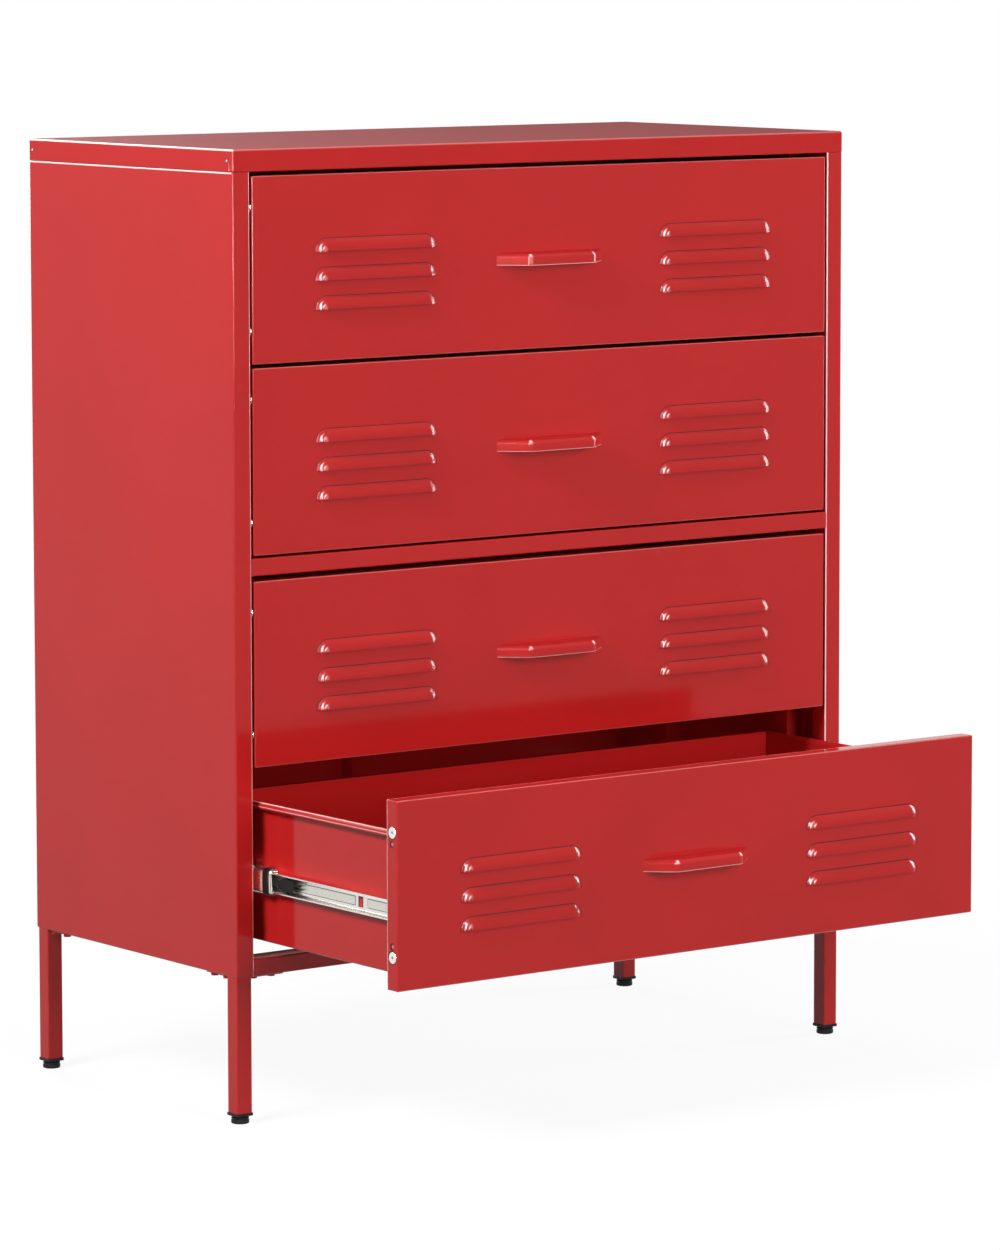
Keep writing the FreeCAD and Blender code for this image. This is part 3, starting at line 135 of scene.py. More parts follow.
def round_cell(surface, rim, radius, rings=()):
    """Square cell with a circle in it: one polygon from each side to its quarter of the circle.

    The rim is a piece of a grid; its edge points are kept. Rings of (radius, height along the
    outward normal, tone) may fill the circle.
    """
    sides = [rim[:, 0], rim[-1], rim[::-1, -1], rim[0, ::-1]]
    corners = [side[0] for side in sides]
    middle = np.mean(corners, axis=0)
    outward = np.cross(corners[1] - corners[0], corners[2] - corners[1])
    outward /= np.linalg.norm(outward)
    share = np.linspace(0, 1, QUARTER_POINTS)[:, None]
    circle = []
    for side in sides:
        first, last = side[0] - middle, side[-1] - middle
        arc = first * np.cos(share * math.pi / 2) + last * np.sin(share * math.pi / 2)
        arc /= np.linalg.norm(arc, axis=1, keepdims=True)
        surface.polygon(np.concatenate([side, middle + radius * arc[::-1]]))
        circle.append(arc[:-1])
    if rings:
        circle = np.concatenate(circle)
        reach, height, tone = np.array([(radius, 0.0, 0.0), *rings])[::-1].T
        points = middle + circle * reach[:, None, None] + outward * height[:, None, None]
        surface.grid(points, flip=True, wrap=True, tone=tone[:, None])


def add_piece(name, surface, material, body, replaced, gauge=None, bevel=None):
    """Object from a surface, given a gauge behind it or a bevel, then even shading on its flats."""
    piece = bpy.data.objects.new(name, surface.mesh(name))
    bpy.context.scene.collection.objects.link(piece)
    if gauge is not None:
        wall = piece.modifiers.new("gauge", "SOLIDIFY")
        wall.thickness = gauge
        wall.offset = -1.0
        wall.use_even_offset = True
        graph = bpy.context.evaluated_depsgraph_get()
        open_sheet = piece.data
        piece.data = bpy.data.meshes.new_from_object(piece.evaluated_get(graph))
        piece.data.name = name
        piece.modifiers.clear()
        bpy.data.meshes.remove(open_sheet)
    mesh = piece.data
    mesh.polygons.foreach_set("use_smooth", np.ones(len(mesh.polygons), bool))
    mesh.set_sharp_from_angle(angle=CREASE)
    if bevel is not None:
        edges = piece.modifiers.new("edges", "BEVEL")
        edges.width = bevel
        edges.segments = 2
        edges.angle_limit = CREASE
    even = piece.modifiers.new("even_shading", "WEIGHTED_NORMAL")
    even.keep_sharp = True
    mesh.materials.append(material)
    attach(piece, body)
    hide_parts(*replaced)


def spread(x, y, z):
    """Points from three coordinates, each given along the rows, the columns or both."""
    return np.stack(np.broadcast_arrays(x, y, z), -1)


def bent_line(corners, bend, steps=BEND_STEPS):
    """Polyline whose inner corners are arcs: each starts and ends bend*tan(half the turn) away."""
    corners = np.asarray(corners, float)
    line = [corners[:1]]
    for before, corner, after in zip(corners, corners[1:], corners[2:]):
        towards = (before - corner) / np.linalg.norm(before - corner)
        away = (after - corner) / np.linalg.norm(after - corner)
        half = math.acos(float(np.clip(towards @ away, -1, 1))) / 2
        reach = bend / math.tan(half)
        middle = corner + (towards + away) / np.linalg.norm(towards + away) * bend / math.sin(half)
        start, end = corner + towards * reach - middle, corner + away * reach - middle
        angle = math.acos(float(np.clip(start @ end / bend ** 2, -1, 1)))
        share = np.linspace(0, 1, steps + 1)[:, None]
        arc = (np.sin((1 - share) * angle) * start + np.sin(share * angle) * end)
        line.append(middle + arc / math.sin(angle))
    line.append(corners[-1:])
    return np.concatenate(line)


def arc_steps(steps=BEND_STEPS):
    """Angles of a quarter circle."""
    return np.linspace(0, math.pi / 2, steps + 1)


def bend_tone(line, brightness):
    """Tone of a bent line: each bend, one number for each, gets a painted highlight in its middle,
    or painted shade where its number is negative.
    """
    tone = np.zeros(len(line))
    shine = np.outer(brightness, -np.sin(2 * arc_steps())).ravel()
    tone[1:1 + len(shine)] = shine
    return tone


def prism(surface, outline, near, far):
    """Outline of (y, z), anticlockwise as seen from +X, carried along X from near to far."""
    ends = [np.insert(np.asarray(outline, float), 0, x, axis=1) for x in sorted((near, far))]
    surface.polygon(ends[1])
    surface.polygon(ends[0], flip=True)
    surface.grid(np.stack(ends), wrap=True)


def turned(surface, profile, place, axis, steps=48, shape=None, darkest=1.0):
    """Profile of (radius, height) turned about an axis; shape(radius, angle) adds to the height.

    Painted shade: what the shape cuts in gets darker, up to a groove's painted shade at the darkest
    depth.
    """
    axis = np.asarray(axis, float)
    first = np.roll(np.abs(axis), 1)
    second = np.cross(axis, first)
    angle = np.linspace(0, 2 * math.pi, steps, endpoint=False)
    radius, height = np.asarray(profile, float).T[:, :, None]
    radius, height = np.broadcast_to(radius, (len(profile), steps)), height + 0 * angle
    tone = np.zeros(height.shape)
    if shape:
        tone = np.clip(-shape(radius, angle) / darkest, 0, 1) * GROOVE_TONE
        height = height + shape(radius, angle)
    way = np.cos(angle)[:, None] * first + np.sin(angle)[:, None] * second
    surface.grid(place + radius[..., None] * way + height[..., None] * axis, wrap=True, tone=tone)


def raise_line(surface, line, levels, side=1, tone=0.0):
    """Line of (x, y) carried up through the levels, mirrored where side is -1."""
    wall = spread(line[:, 0] * side, line[:, 1], np.array(levels)[:, None])
    surface.grid(wall, flip=side < 0, tone=tone)


def runs(mask):
    """Starts and ends of the stretches in which the mask holds."""
    edge = np.flatnonzero(np.diff(np.concatenate([[False], mask, [False]]).astype(int)))
    return edge.reshape(-1, 2)


def pan_rim(across, up, profile):
    """Rim of a pan: a profile of (out, depth) carried round the rectangle of the two sets of lines.

    At a corner the way out turns by a quarter circle; a profile that comes inside the rectangle
    follows the smaller rectangle there. Returns rows of (across, up, depth).
    """
    turn = arc_steps(CORNER_STEPS)[1:-1]
    corners = [(across[-1], up[0], -90), (across[-1], up[-1], 0), (across[0], up[-1], 90),
               (across[0], up[0], 180)]
    sides = [(across, np.full(len(across), up[0])), (np.full(len(up), across[-1]), up),
             (across[::-1], np.full(len(across), up[-1])),
             (np.full(len(up), across[0]), up[::-1])]
    base, way = [], []
    for (side_across, side_up), (corner_across, corner_up, start) in zip(sides, corners):
        angle = math.radians(start)
        base.append(np.stack([side_across, side_up], -1))
        way.append(np.tile([math.cos(angle), math.sin(angle)], (len(side_across), 1)))
        base.append(np.tile([corner_across, corner_up], (len(turn), 1)).astype(float))
        way.append(np.stack([np.cos(angle + turn), np.sin(angle + turn)], -1))
    base, way = np.concatenate(base), np.concatenate(way)
    middle = (base.max(0) + base.min(0)) / 2
    half = (base.max(0) - base.min(0)) / 2
    out, depth = np.asarray(profile, float).T
    out = out[:, None, None]
    inset = half + np.minimum(out, 0)
    inside = middle + np.clip(base - middle, -inset, inset)
    plan = np.where(out < 0, inside, base + way * np.maximum(out, 0))
    return spread(plan[..., 0], plan[..., 1], depth[:, None])


# Node trees

def arithmetic(operation, reflected=False):
    """Method that adds a Math node with both values, in the order in which they are written."""
    def method(self, other):
        values = (other, self) if reflected else (self, other)
        return self.finish.node("ShaderNodeMath", {"operation": operation},
                                dict(enumerate(values)))
    return method


class Value:
    """One output socket; arithmetic on it adds Math nodes to its tree."""

    def __init__(self, finish, socket):
        self.finish = finish
        self.socket = socket

    __add__, __radd__ = arithmetic("ADD"), arithmetic("ADD", True)
    __sub__, __rsub__ = arithmetic("SUBTRACT"), arithmetic("SUBTRACT", True)
    __mul__, __rmul__ = arithmetic("MULTIPLY"), arithmetic("MULTIPLY", True)

    def beyond(self, limit, softness):
        """1 where the value is above the limit, rising from 0 over the softness before it."""
        return self.finish.node("ShaderNodeMapRange", {"interpolation_type": "SMOOTHSTEP"},
                                {0: self, 1: limit - softness, 2: limit, 3: 0.0, 4: 1.0})


class Finish:
    """A material under construction, with one method that adds any node."""

    def __init__(self, name):
        self.material = bpy.data.materials.new(name)
        self.material.use_nodes = True
        self.tree = self.material.node_tree
        self.shader = self.tree.nodes["Principled BSDF"]

    def node(self, kind, settings, values, output=0):
        made = self.tree.nodes.new(kind)
        for key, setting in settings.items():
            setattr(made, key, setting)
        for key, value in values.items():
            self.feed(made.inputs[key], value)
        return Value(self, made.outputs[output])

    def feed(self, socket, value):
        if isinstance(value, Value):
            self.tree.links.new(value.socket, socket)
        else:
            socket.default_value = value

    def set(self, name, value):
        self.feed(self.shader.inputs[name], value)

    def place(self, scale=(1, 1, 1)):
        """Object coordinates in metres, stretched by scale."""
        coordinates = self.node("ShaderNodeTexCoord", {}, {}, "Object")
        return self.node("ShaderNodeMapping", {}, {"Vector": coordinates, "Scale": scale})

    def parts(self, where):
        """The three coordinates of a place."""
        return [self.node("ShaderNodeSeparateXYZ", {}, {0: where}, axis) for axis in range(3)]

    def noise(self, where, scale, detail=2.0, roughness=0.5):
        return self.node("ShaderNodeTexNoise", {}, {"Vector": where, "Scale": scale,
                         "Detail": detail, "Roughness": roughness}, "Fac")

    def tone(self):
        """What a piece's points say: 1 for painted shade in a groove, -1 for a painted highlight on
        an edge.
        """
        return self.node("ShaderNodeAttribute", {"attribute_name": "tone"}, {}, "Fac")

    def mix(self, amount, first, second):
        """Blend of two colours, each a tuple or a link."""
        first = first if isinstance(first, Value) else (*first, 1.0)
        second = second if isinstance(second, Value) else (*second, 1.0)
        return self.node("ShaderNodeMix", {"data_type": "RGBA"},
                         {0: amount, 6: first, 7: second}, 2)

    def bump(self, height, strength, distance):
        self.set("Normal", self.node("ShaderNodeBump", {}, {"Strength": strength,
                 "Distance": distance, "Height": height}))


def shaded(colour, factor):
    """A colour made darker or lighter, within what a colour may be."""
    return tuple(min(1.0, channel * factor) for channel in colour)


# Noise scales in cells per metre, and colours that don't follow the settings
CLOUDS, ORANGE_PEEL, COAT_GRAIN, DUST_SPECKS = 7.0, 420.0, 1100.0, 260.0
DRAWN_LINES, ZINC_BLOTCHES = 1800.0, 30.0
PLASTIC_GRAIN, PLASTIC_WEAR = 1500.0, 70.0
# Painted shade in grooves, a painted highlight on edges, dust with painted shade on faces that look
# up, and painted shade in the zinc's grooves
GROOVE_SHADE = 0.06
PAINTED_HIGHLIGHT = (1.0, 0.72, 0.70)
DUST_AND_SHADE_RED = (0.120, 0.008, 0.008)
ZINC_GROOVE_SHADE = (0.05, 0.05, 0.05)


def powder_coat(name, red, dusty_and_shaded):
    """Glossy powder coat: fine orange peel, faint clouds, painted shade in grooves and painted
    highlights on edges.

    The coat for the top panel is duller where it faces up, and darker there from painted shade
    and fine specks.
    """
    finish = Finish(name)
    where = finish.place()
    clouds = finish.noise(where, CLOUDS, 3.0)
    grain = finish.noise(where, COAT_GRAIN, 2.0, 0.6)
    peel = finish.noise(where, ORANGE_PEEL, 2.0, 0.5)
    tone = finish.tone()
    # Painted shade where the tone is above 0, a painted highlight where it is below 0
    dark, bright = tone.beyond(1.0, 1.0), (tone * -1.0).beyond(1.0, 1.0)
    tint = finish.mix(clouds, shaded(red, 0.93), shaded(red, 1.07))
    tint = finish.mix(grain * 0.14, tint, shaded(red, 0.75))
    gloss = 0.075 + clouds * 0.03 + grain * 0.03
    if dusty_and_shaded:
        # Faces that look up: duller, and darker from specks of dust and painted shade
        facing = finish.node("ShaderNodeNewGeometry", {}, {}, "Normal")
        dust_and_shade = finish.parts(facing)[2].beyond(1.0, 0.06)
        specks = finish.noise(where, DUST_SPECKS, 4.0, 0.7)
        tint = finish.mix(dust_and_shade * (0.62 + specks * 0.2), tint, DUST_AND_SHADE_RED)
        gloss = gloss + dust_and_shade * 0.64
    # The base colour is darkened by painted shade in grooves and lightened by painted highlights on
    # edges
    tint = finish.mix(dark, tint, shaded(red, GROOVE_SHADE))
    finish.set("Base Color", finish.mix(bright, tint, PAINTED_HIGHLIGHT))
    finish.set("Roughness", gloss + dark * 0.3)
    finish.set("Specular IOR Level", 0.15 if dusty_and_shaded else 0.20)
    finish.bump(peel * 0.7 + grain * 0.3, 0.12, 0.00004)
    return finish.material


def zinc_plate(name, metal, drawn_along=(1.0, 0.02, 1.0)):
    """Bright zinc on rolled steel: drawn lines along the length, faint blotches, painted shade in
    the grooves.
    """
    finish = Finish(name)
    drawn = finish.noise(finish.place(drawn_along), DRAWN_LINES, 2.0)
    blotches = finish.noise(finish.place(), ZINC_BLOTCHES, 2.0)
    tone = finish.tone()
    warm = (metal[0], metal[1] * 0.985, metal[2] * 0.95)
    plated = finish.mix(blotches, metal, warm)
    # Painted shade in the grooves, from the tone
    dark = tone.beyond(1.0, 1.0)
    finish.set("Base Color", finish.mix(dark, plated, ZINC_GROOVE_SHADE))
    finish.set("Roughness", 0.19 + blotches * 0.04 + drawn * 0.05 + dark * 0.3)
    finish.set("Metallic", 1.0)
    finish.bump(drawn, 0.02, 0.00001)
    return finish.material


def moulded_plastic(name, black):
    """Moulded black plastic with a fine spark-eroded grain."""
    finish = Finish(name)
    where = finish.place()
    grain = finish.noise(where, PLASTIC_GRAIN, 3.0, 0.6)
    wear = finish.noise(where, PLASTIC_WEAR, 3.0)
    finish.set("Base Color", finish.mix(wear * 0.5, black, shaded(black, 1.8)))
    finish.set("Roughness", 0.36 + grain * 0.12)
    finish.set("Specular IOR Level", 0.15)
    finish.bump(grain, 0.15, 0.00004)
    return finish.material


# Settings

def length(name, description, default):
    return bpy.props.FloatProperty(name=name, description=description, default=default,
                                   subtype="DISTANCE", unit="LENGTH")


def colour(name, description, default):
    return bpy.props.FloatVectorProperty(name=name, description=description, default=default,
                                         subtype="COLOR", size=3, min=0.0, max=1.0)


def watts(name, description, default):
    return bpy.props.FloatProperty(name=name, description=description, default=default,
                                   min=0.0, subtype="POWER", unit="POWER")


class CabinetFinishes(bpy.types.PropertyGroup):
    powder_red: colour("Powder red", "Colour of the coated sheet", (0.50, 0.0150, 0.0148))
    zinc: colour("Zinc", "Colour of the plated slides", (0.72, 0.71, 0.67))
    screw_steel: colour("Screw steel", "Colour of the plated screws", (0.80, 0.79, 0.77))
    plastic_black: colour("Black plastic", "Colour of feet, plugs and release levers",
                          (0.006, 0.006, 0.0065))


class CabinetSheets(bpy.types.PropertyGroup):
    gauge: length("Gauge", "Thickness of the folded sheets", 0.0008)
    bend: length("Bend", "Outer radius of the folds", 0.0015)
    shoulder: length("Shoulder", "Outer radius of the side panels' upper fold", 0.0022)
    lid_bend: length("Top panel bend", "Outer radius of the top panel's folds", 0.0023)
    lid_hem: length("Top panel hem", "Inward hem under the top panel", 0.012)
    front_seam: length("Front seam", "Seam behind a front corner of the top panel", 0.0052)
    rear_seam: length("Rear seam", "Seam before a rear corner of the top panel", 0.0115)
    seam_width: length("Seam width", "Groove of a corner seam", 0.0009)
    seam_depth: length("Seam depth", "Groove of a corner seam", 0.0005)
    front_dot: length("Front weld", "Spot weld behind a front corner", 0.0102)
    rear_dot: length("Rear weld", "Spot weld before a rear corner", 0.0070)
    panel_flange: length("Panel flange", "Top, bottom and rear flanges of a side panel", 0.012)
    stile_width: length("Stile width", "Front fold of a side panel", 0.0207)
    stile_return: length("Stile return", "Depth of the stile with its inner flange", 0.0205)
    front_flange: length("Front flange", "Folded edges of a drawer front", 0.017)
    bead_radius: length("Bead radius", "Rolled upper edge of a drawer side", 0.004)
    side_flange: length("Side flange", "Bottom flange of a drawer side", 0.010)


class CabinetLouvres(bpy.types.PropertyGroup):
    span: length("Length", "Length of a louvre along its lip, without its soft foot", 0.150)
    rise: length("Rise", "Height of a louvre", 0.013)
    out: length("Out", "Lip in front of the sheet", 0.0055)
    soft_from: length("Soft foot", "Where the curve leaves its arc for the foot", 0.0124)
    pitch: length("Pitch", "Louvre to louvre", 0.0294)
    lowest: length("Lowest lip", "Lowest louvre above the front's lower edge", 0.0523)
    centre: length("Bank centre", "Bank of louvres from the middle", 0.223)


class CabinetPull(bpy.types.PropertyGroup):
    foot_width: length("Foot width", "Pull at the drawer front", 0.138)
    face_width: length("Face width", "Pull along its front", 0.084)
    out: length("Out", "Pull in front of the drawer", 0.024)
    corner: length("Corner", "Front corners of the pull", 0.012)
    upper_edge: length("Upper edge", "Height of the rounded upper edge", 0.0055)
    upper_inset: length("Upper inset", "Reach of the rounded upper edge", 0.0070)
    lower_edge: length("Lower edge", "Rounding of the lower edge", 0.0011)
    wall: length("Wall", "Wall of the pull", 0.0016)


class CabinetSlides(bpy.types.PropertyGroup):
    gauge: length("Gauge", "Thickness of the slide members", 0.0012)
    race_bend: length("Race", "Bends that serve as ball races", 0.0047)
    drawer_reach: length("Drawer member", "Depth of the drawer member", 0.008)
    raised: length("Raised", "Height of the raised panels", 0.0004)
    outline: length("Outline", "Groove round a raised panel", 0.0009)
    slot_back: length("Slot", "Slot behind the member's front end", 0.060)
    slot_width: length("Slot width", "Width of the slot", 0.0075)
    slot_height: length("Slot height", "Height of the slot", 0.011)
    middle_tip: length("Intermediate member", "Its edges from the middle", 0.365)
    middle_reach: length("Intermediate depth", "Depth of the intermediate member", 0.009)
    middle_half: length("Intermediate height", "Half its height", 0.0135)
    outer_reach: length("Cabinet member", "Depth of the cabinet member", 0.0097)
    outer_half: length("Cabinet member height", "Half its height", 0.0175)
    cage_gauge: length("Cage gauge", "Thickness of the ball cages", 0.0005)
    cage_bend: length("Cage bend", "Outer radius of an inner ball cage's corners", 0.0020)
    cage_length: length("Cage length", "Length of the ball cages", 0.076)
    cage_front: length("Cage front", "Cage teeth before the member's end", 0.0040)
    sleeve: length("Sleeve", "Thickness of the black end sleeves", 0.0006)
    sleeve_length: length("Sleeve length", "Length of the black end sleeves", 0.011)
    inner_cage_half: length("Cage height", "Half the height of an inner ball cage", 0.01178)
    fork: length("Fork", "Length of a lever's fork", 0.008)
    taper: length("Taper", "Slanted length at a lever's rear", 0.005)
    waist: length("Waist", "Half height of the fork and rear end", 0.0028)
    slit: length("Slit", "Half height of the gap in the fork", 0.00125)
    stud: length("Stud", "Radius of a lever's stud", 0.0019)
    stud_back: length("Stud place", "Stud before the lever's rear end", 0.009)


class CabinetScrews(bpy.types.PropertyGroup):
    head: length("Head", "Radius of a corner screw's head", 0.0059)
    thick: length("Head thickness", "Height of a corner screw's head", 0.0007)
    sunk: length("Sunk", "Depth of the dimples that the corner screws sit in", 0.0006)
    arm: length("Recess", "Cross recess from its middle", 0.0026)
    depth: length("Depth", "Corner screws behind the front face", 0.0088)
    low_level: length("Lower screws", "Above the front's lower edge", 0.033)
    high_level: length("Upper screws", "Above the front's lower edge", 0.1575)
    pull_spacing: length("Pull screws", "Distance between the pull's screws", 0.096)
    pull_level: length("Pull screw level", "Above the pull's lower edge", 0.0074)


class CabinetFeet(bpy.types.PropertyGroup):
    radius: length("Foot radius", "Radius of a levelling foot", 0.0093)
    height: length("Foot height", "Height of a foot's disc", 0.0074)
    stem: length("Stem", "Radius of the threaded stem", 0.004)
    plug: length("Plug", "Width of a leg plug's flange", 0.020)
    plug_flange: length("Plug flange", "Thickness of the flange", 0.003)
    plug_corner: length("Plug corner", "Rounding of the flange's corners", 0.0018)


class CabinetStage(bpy.types.PropertyGroup):
    camera_place: bpy.props.FloatVectorProperty(
        name="Camera place", description="Camera in the cabinet's frame",
        subtype="TRANSLATION", unit="LENGTH", size=3, default=(-3.615857, -4.779219, 1.218586))
    camera_yaw: bpy.props.FloatProperty(
        name="Camera yaw", description="Turn of the view from the front towards the right",
        subtype="ANGLE", default=0.6445587)
    camera_pitch: bpy.props.FloatProperty(
        name="Camera pitch", description="Downward tilt of the view", subtype="ANGLE",
        default=0.1011009)
    camera_roll: bpy.props.FloatProperty(
        name="Camera roll", description="Turn about the line of sight", subtype="ANGLE",
        default=-0.0016128)
    camera_lens: bpy.props.FloatProperty(
        name="Lens", description="Focal length on a 36 mm frame, in millimetres",
        default=164.288, min=1.0)
    camera_shift: bpy.props.FloatProperty(
        name="Lens shift", description="Vertical shift as a share of the long side", default=-0.1)
    upper_left_light: watts("Upper left light", "Light on the left, above", 104.0)
    upper_front_light: watts("Upper front light", "Compact light above and in front", 5.0)
    front_light: watts("Front light", "Light in front", 78.0)
    strip_lights: watts("Strip lights", "Each slim light at the left front, in gloss only", 260.0)
    rear_strip_light: watts("Rear strip light", "Wide light high behind, in gloss only", 30.0)
    rear_light: watts("Rear light", "Fill light behind", 60.0)
    right_light: watts("Right light", "Narrow light on the right", 46.0)
    surround: bpy.props.FloatProperty(
        name="Surround", description="Strength of the even light all round", default=0.03, min=0.0)


# Cabinet sheets

def finish_of(name, make, *values):
    """The material of that name, made when it is first asked for."""
    return bpy.data.materials.get(name) or make(name, *values)


def red_coat(context, dusty_and_shaded=False):
    return finish_of("red_powder_coat_top" if dusty_and_shaded else "red_powder_coat", powder_coat,
                     tuple(context.scene.cabinet_finishes.powder_red), dusty_and_shaded)


def zinc(context):
    return finish_of("bright_zinc", zinc_plate, tuple(context.scene.cabinet_finishes.zinc))


def steel(context):
    return finish_of("screw_zinc", zinc_plate,
                     tuple(context.scene.cabinet_finishes.screw_steel), (1.0, 1.0, 1.0))


def black(context):
    return finish_of("moulded_black", moulded_plastic,
                     tuple(context.scene.cabinet_finishes.plastic_black))


def add_sheet(context, node, surface, body, form="sheet", coat=None):
    """A folded sheet in the powder coat, in place of its CAD node."""
    add_piece(f"{node}_{form}", surface, coat or red_coat(context), body, [node],
              context.scene.cabinet_sheets.gauge)


# Spot welds: half of the square cell round one, its radius, and rings of (radius, height, tone);
# the tones paint shade in each dimple and a highlight in its middle.
DOT_CELL = 0.0028
DOT_RADIUS = 0.0023
DOT_RINGS = ((0.0020, -0.0003, 0.8), (0.0015, -0.0004, 0.2), (0.0011, -0.0001, -0.9),
             (0.0005, 0.0, -1.0), (0.0, 0.0, -1.0))
# Painted highlights on the top panel's folds
LID_SHINE = 0.3                 # brightness of the top panel's front and rear folds
LID_SIDE_SHINE = 0.7            # what its side folds add to that


class CABINET_OT_top_panel(bpy.types.Operator):
    """Top panel: a pan with rounded folds, an inward hem, corner seams and spot welds"""
    bl_idname = "cabinet.top_panel"
    bl_label = "Top Panel"

    def execute(self, context):
        sheets = context.scene.cabinet_sheets
        low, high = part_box("top_panel")
        bend, small, tall = sheets.lid_bend, sheets.bend, high[2] - low[2]
        seams = np.array([low[1] + sheets.front_seam, high[1] - sheets.rear_seam])
        dots = np.array([low[1] + sheets.front_dot, high[1] - sheets.rear_dot])
        across = np.array([low[0] + bend, high[0] - bend])
        groove = np.array([-1.0, 0.0, 1.0]) * sheets.seam_width / 2
        dot_lines = np.array([-DOT_CELL, DOT_CELL])
        back = np.sort(np.concatenate([[low[1] + bend, high[1] - bend],
                                       (seams[:, None] + groove).ravel(),
                                       (dots[:, None] + dot_lines).ravel()]))
        turn = arc_steps()
        profile = [*zip(bend * np.sin(turn), bend * (1 - np.cos(turn))),
                   (bend, tall / 2 - DOT_CELL), (bend, tall / 2 + DOT_CELL),
                   *zip(bend - small * (1 - np.cos(turn)), tall - small + small * np.sin(turn)),
                   (bend - sheets.lid_hem, tall)]
        rim = pan_rim(across, back, profile)
        rim[..., 2] = high[2] - rim[..., 2]
        wall = slice(len(turn), len(turn) + 3)
        grooved = (np.abs(rim[0, :, 1, None] - seams).min(axis=1) < MICRON)
        rim[wall, grooved, 0] -= np.sign(rim[wall, grooved, 0]) * sheets.seam_depth
        # Painted highlights along the upper folds, brighter on the sides, and painted shade in the
        # corner seams
        tone = np.zeros(rim.shape[:2])
        sideways = np.abs(rim[0, :, 0] - rim[len(turn) - 1, :, 0]) > MICRON
        shine = LID_SHINE + LID_SIDE_SHINE * sideways
        tone[:len(turn)] = -shine * np.sin(2 * turn)[:, None]
        tone[wall, grooved] = GROOVE_TONE
        surface = Surface()
        self.walls(surface, rim, tone, len(turn), dots)
        surface.polygon(rim[0])
        # Its coat is duller and darker where it faces up, from dust and painted shade
        add_sheet(context, "top_panel", surface, "cabinet", coat=red_coat(context, True))
        return {"FINISHED"}

    @staticmethod
    def walls(surface, rim, tone, row, dots):
        """Grid of the rim, in which the square cells round the spot welds are left to the dots."""
        rim = np.concatenate([rim, rim[:, :1]], axis=1)
        tone = np.concatenate([tone, tone[:, :1]], axis=1)
        middle = (rim[row, :-1] + rim[row, 1:]) / 2
        along_side = np.abs(rim[row, 1:, 0] - rim[row, :-1, 0]) < MICRON
        dotted = along_side & (np.abs(middle[:, 1, None] - dots) < MICRON).any(axis=1)
        surface.grid(rim[:row + 1], flip=True, tone=tone[:row + 1])
        surface.grid(rim[row + 1:], flip=True, tone=tone[row + 1:])
        for start, end in runs(~dotted):
            surface.grid(rim[row:row + 2, start:end + 1], flip=True,
                         tone=tone[row:row + 2, start:end + 1])
        for column in np.flatnonzero(dotted):
            round_cell(surface, rim[row:row + 2, column:column + 2], DOT_RADIUS, DOT_RINGS)


# Painted highlight on the stile's inner fold and the rear fold, painted shade on its outer fold
PANEL_SHINE = (1.0, -0.2, 0.2)  # brightness of the stile's two folds and of the rear one


class CABINET_OT_side_panels(bpy.types.Operator):
    """Side panels: each one sheet folded into skin, stile, inner flange and edge flanges"""
    bl_idname = "cabinet.side_panels"
    bl_label = "Side Panels"

    def execute(self, context):
        sheets = context.scene.cabinet_sheets
        for name, side in SIDES:
            node = f"side_panel_{name}"
            low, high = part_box(node)
            surface = self.panel(sheets, side, low, high)
            add_sheet(context, node, surface, "cabinet")
        return {"FINISHED"}

    def panel(self, sheets, side, low, high):
        """The plan line of the sheet is raised along Z; arcs along Y turn its edges inwards."""
        bend, flange, shoulder = sheets.bend, sheets.panel_flange, sheets.shoulder
        skin = abs(low[0] if side < 0 else high[0])
        stile = skin - sheets.stile_width
        front, rear = low[1], high[1]
        plan = [(stile, front + sheets.stile_return), (stile, front), (skin, front),
                (skin, rear), (skin - flange, rear)]
        line = bent_line(plan, bend)
        start = len(bent_line(plan[:3] + [(skin, front + 2 * bend)], bend)) - 1
        surface = Surface()
        tone = bend_tone(line, PANEL_SHINE)
        raise_line(surface, line, [low[2] + bend, high[2] - shoulder], side, tone)
        front_line, front_tone = line[:start], tone[:start]
        raise_line(surface, front_line, [high[2] - shoulder, high[2]], side, front_tone)
        raise_line(surface, front_line, [low[2], low[2] + bend], side, front_tone)
        turn = arc_steps()
        for edge, sign, radius in ((high[2] - shoulder, 1, shoulder), (low[2] + bend, -1, bend)):
            inwards = np.append(skin - radius * (1 - np.cos(turn)), skin - flange)
            upwards = np.append(radius * np.sin(turn), radius)
            # Painted highlight along the upper fold, none along the lower one
            shine = np.append(-np.sin(2 * turn), 0.0)[:, None] * (sign > 0)
            fold = spread(inwards[:, None] * side, [front + bend, rear - bend],
                          edge + upwards[:, None] * sign)
            surface.grid(fold, flip=side * sign < 0, tone=shine)
        return surface


NOTCH_PLAY = 0.0004             # notch of the back panels above the rear rail


class CABINET_OT_back_panels(bpy.types.Operator):
    """Back panels: two pans with forward flanges, notched round the rear rail"""
    bl_idname = "cabinet.back_panels"
    bl_label = "Back Panels"

    def execute(self, context):
        sheets = context.scene.cabinet_sheets
        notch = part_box("bottom_rear_rail")[1][2] + NOTCH_PLAY
        for name, side in SIDES:
            node = f"back_panel_{name}"
            low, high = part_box(node)
            inner, outer = sorted((abs(low[0]), abs(high[0])))
            line = bent_line([(outer, low[1]), (outer, high[1]), (inner, high[1]),
                              (inner, low[1])], sheets.bend)
            surface = Surface()
            raise_line(surface, line, [notch, high[2]], side)
            raise_line(surface, line[:-1], [low[2], notch], side)
            add_sheet(context, node, surface, "cabinet")
        return {"FINISHED"}


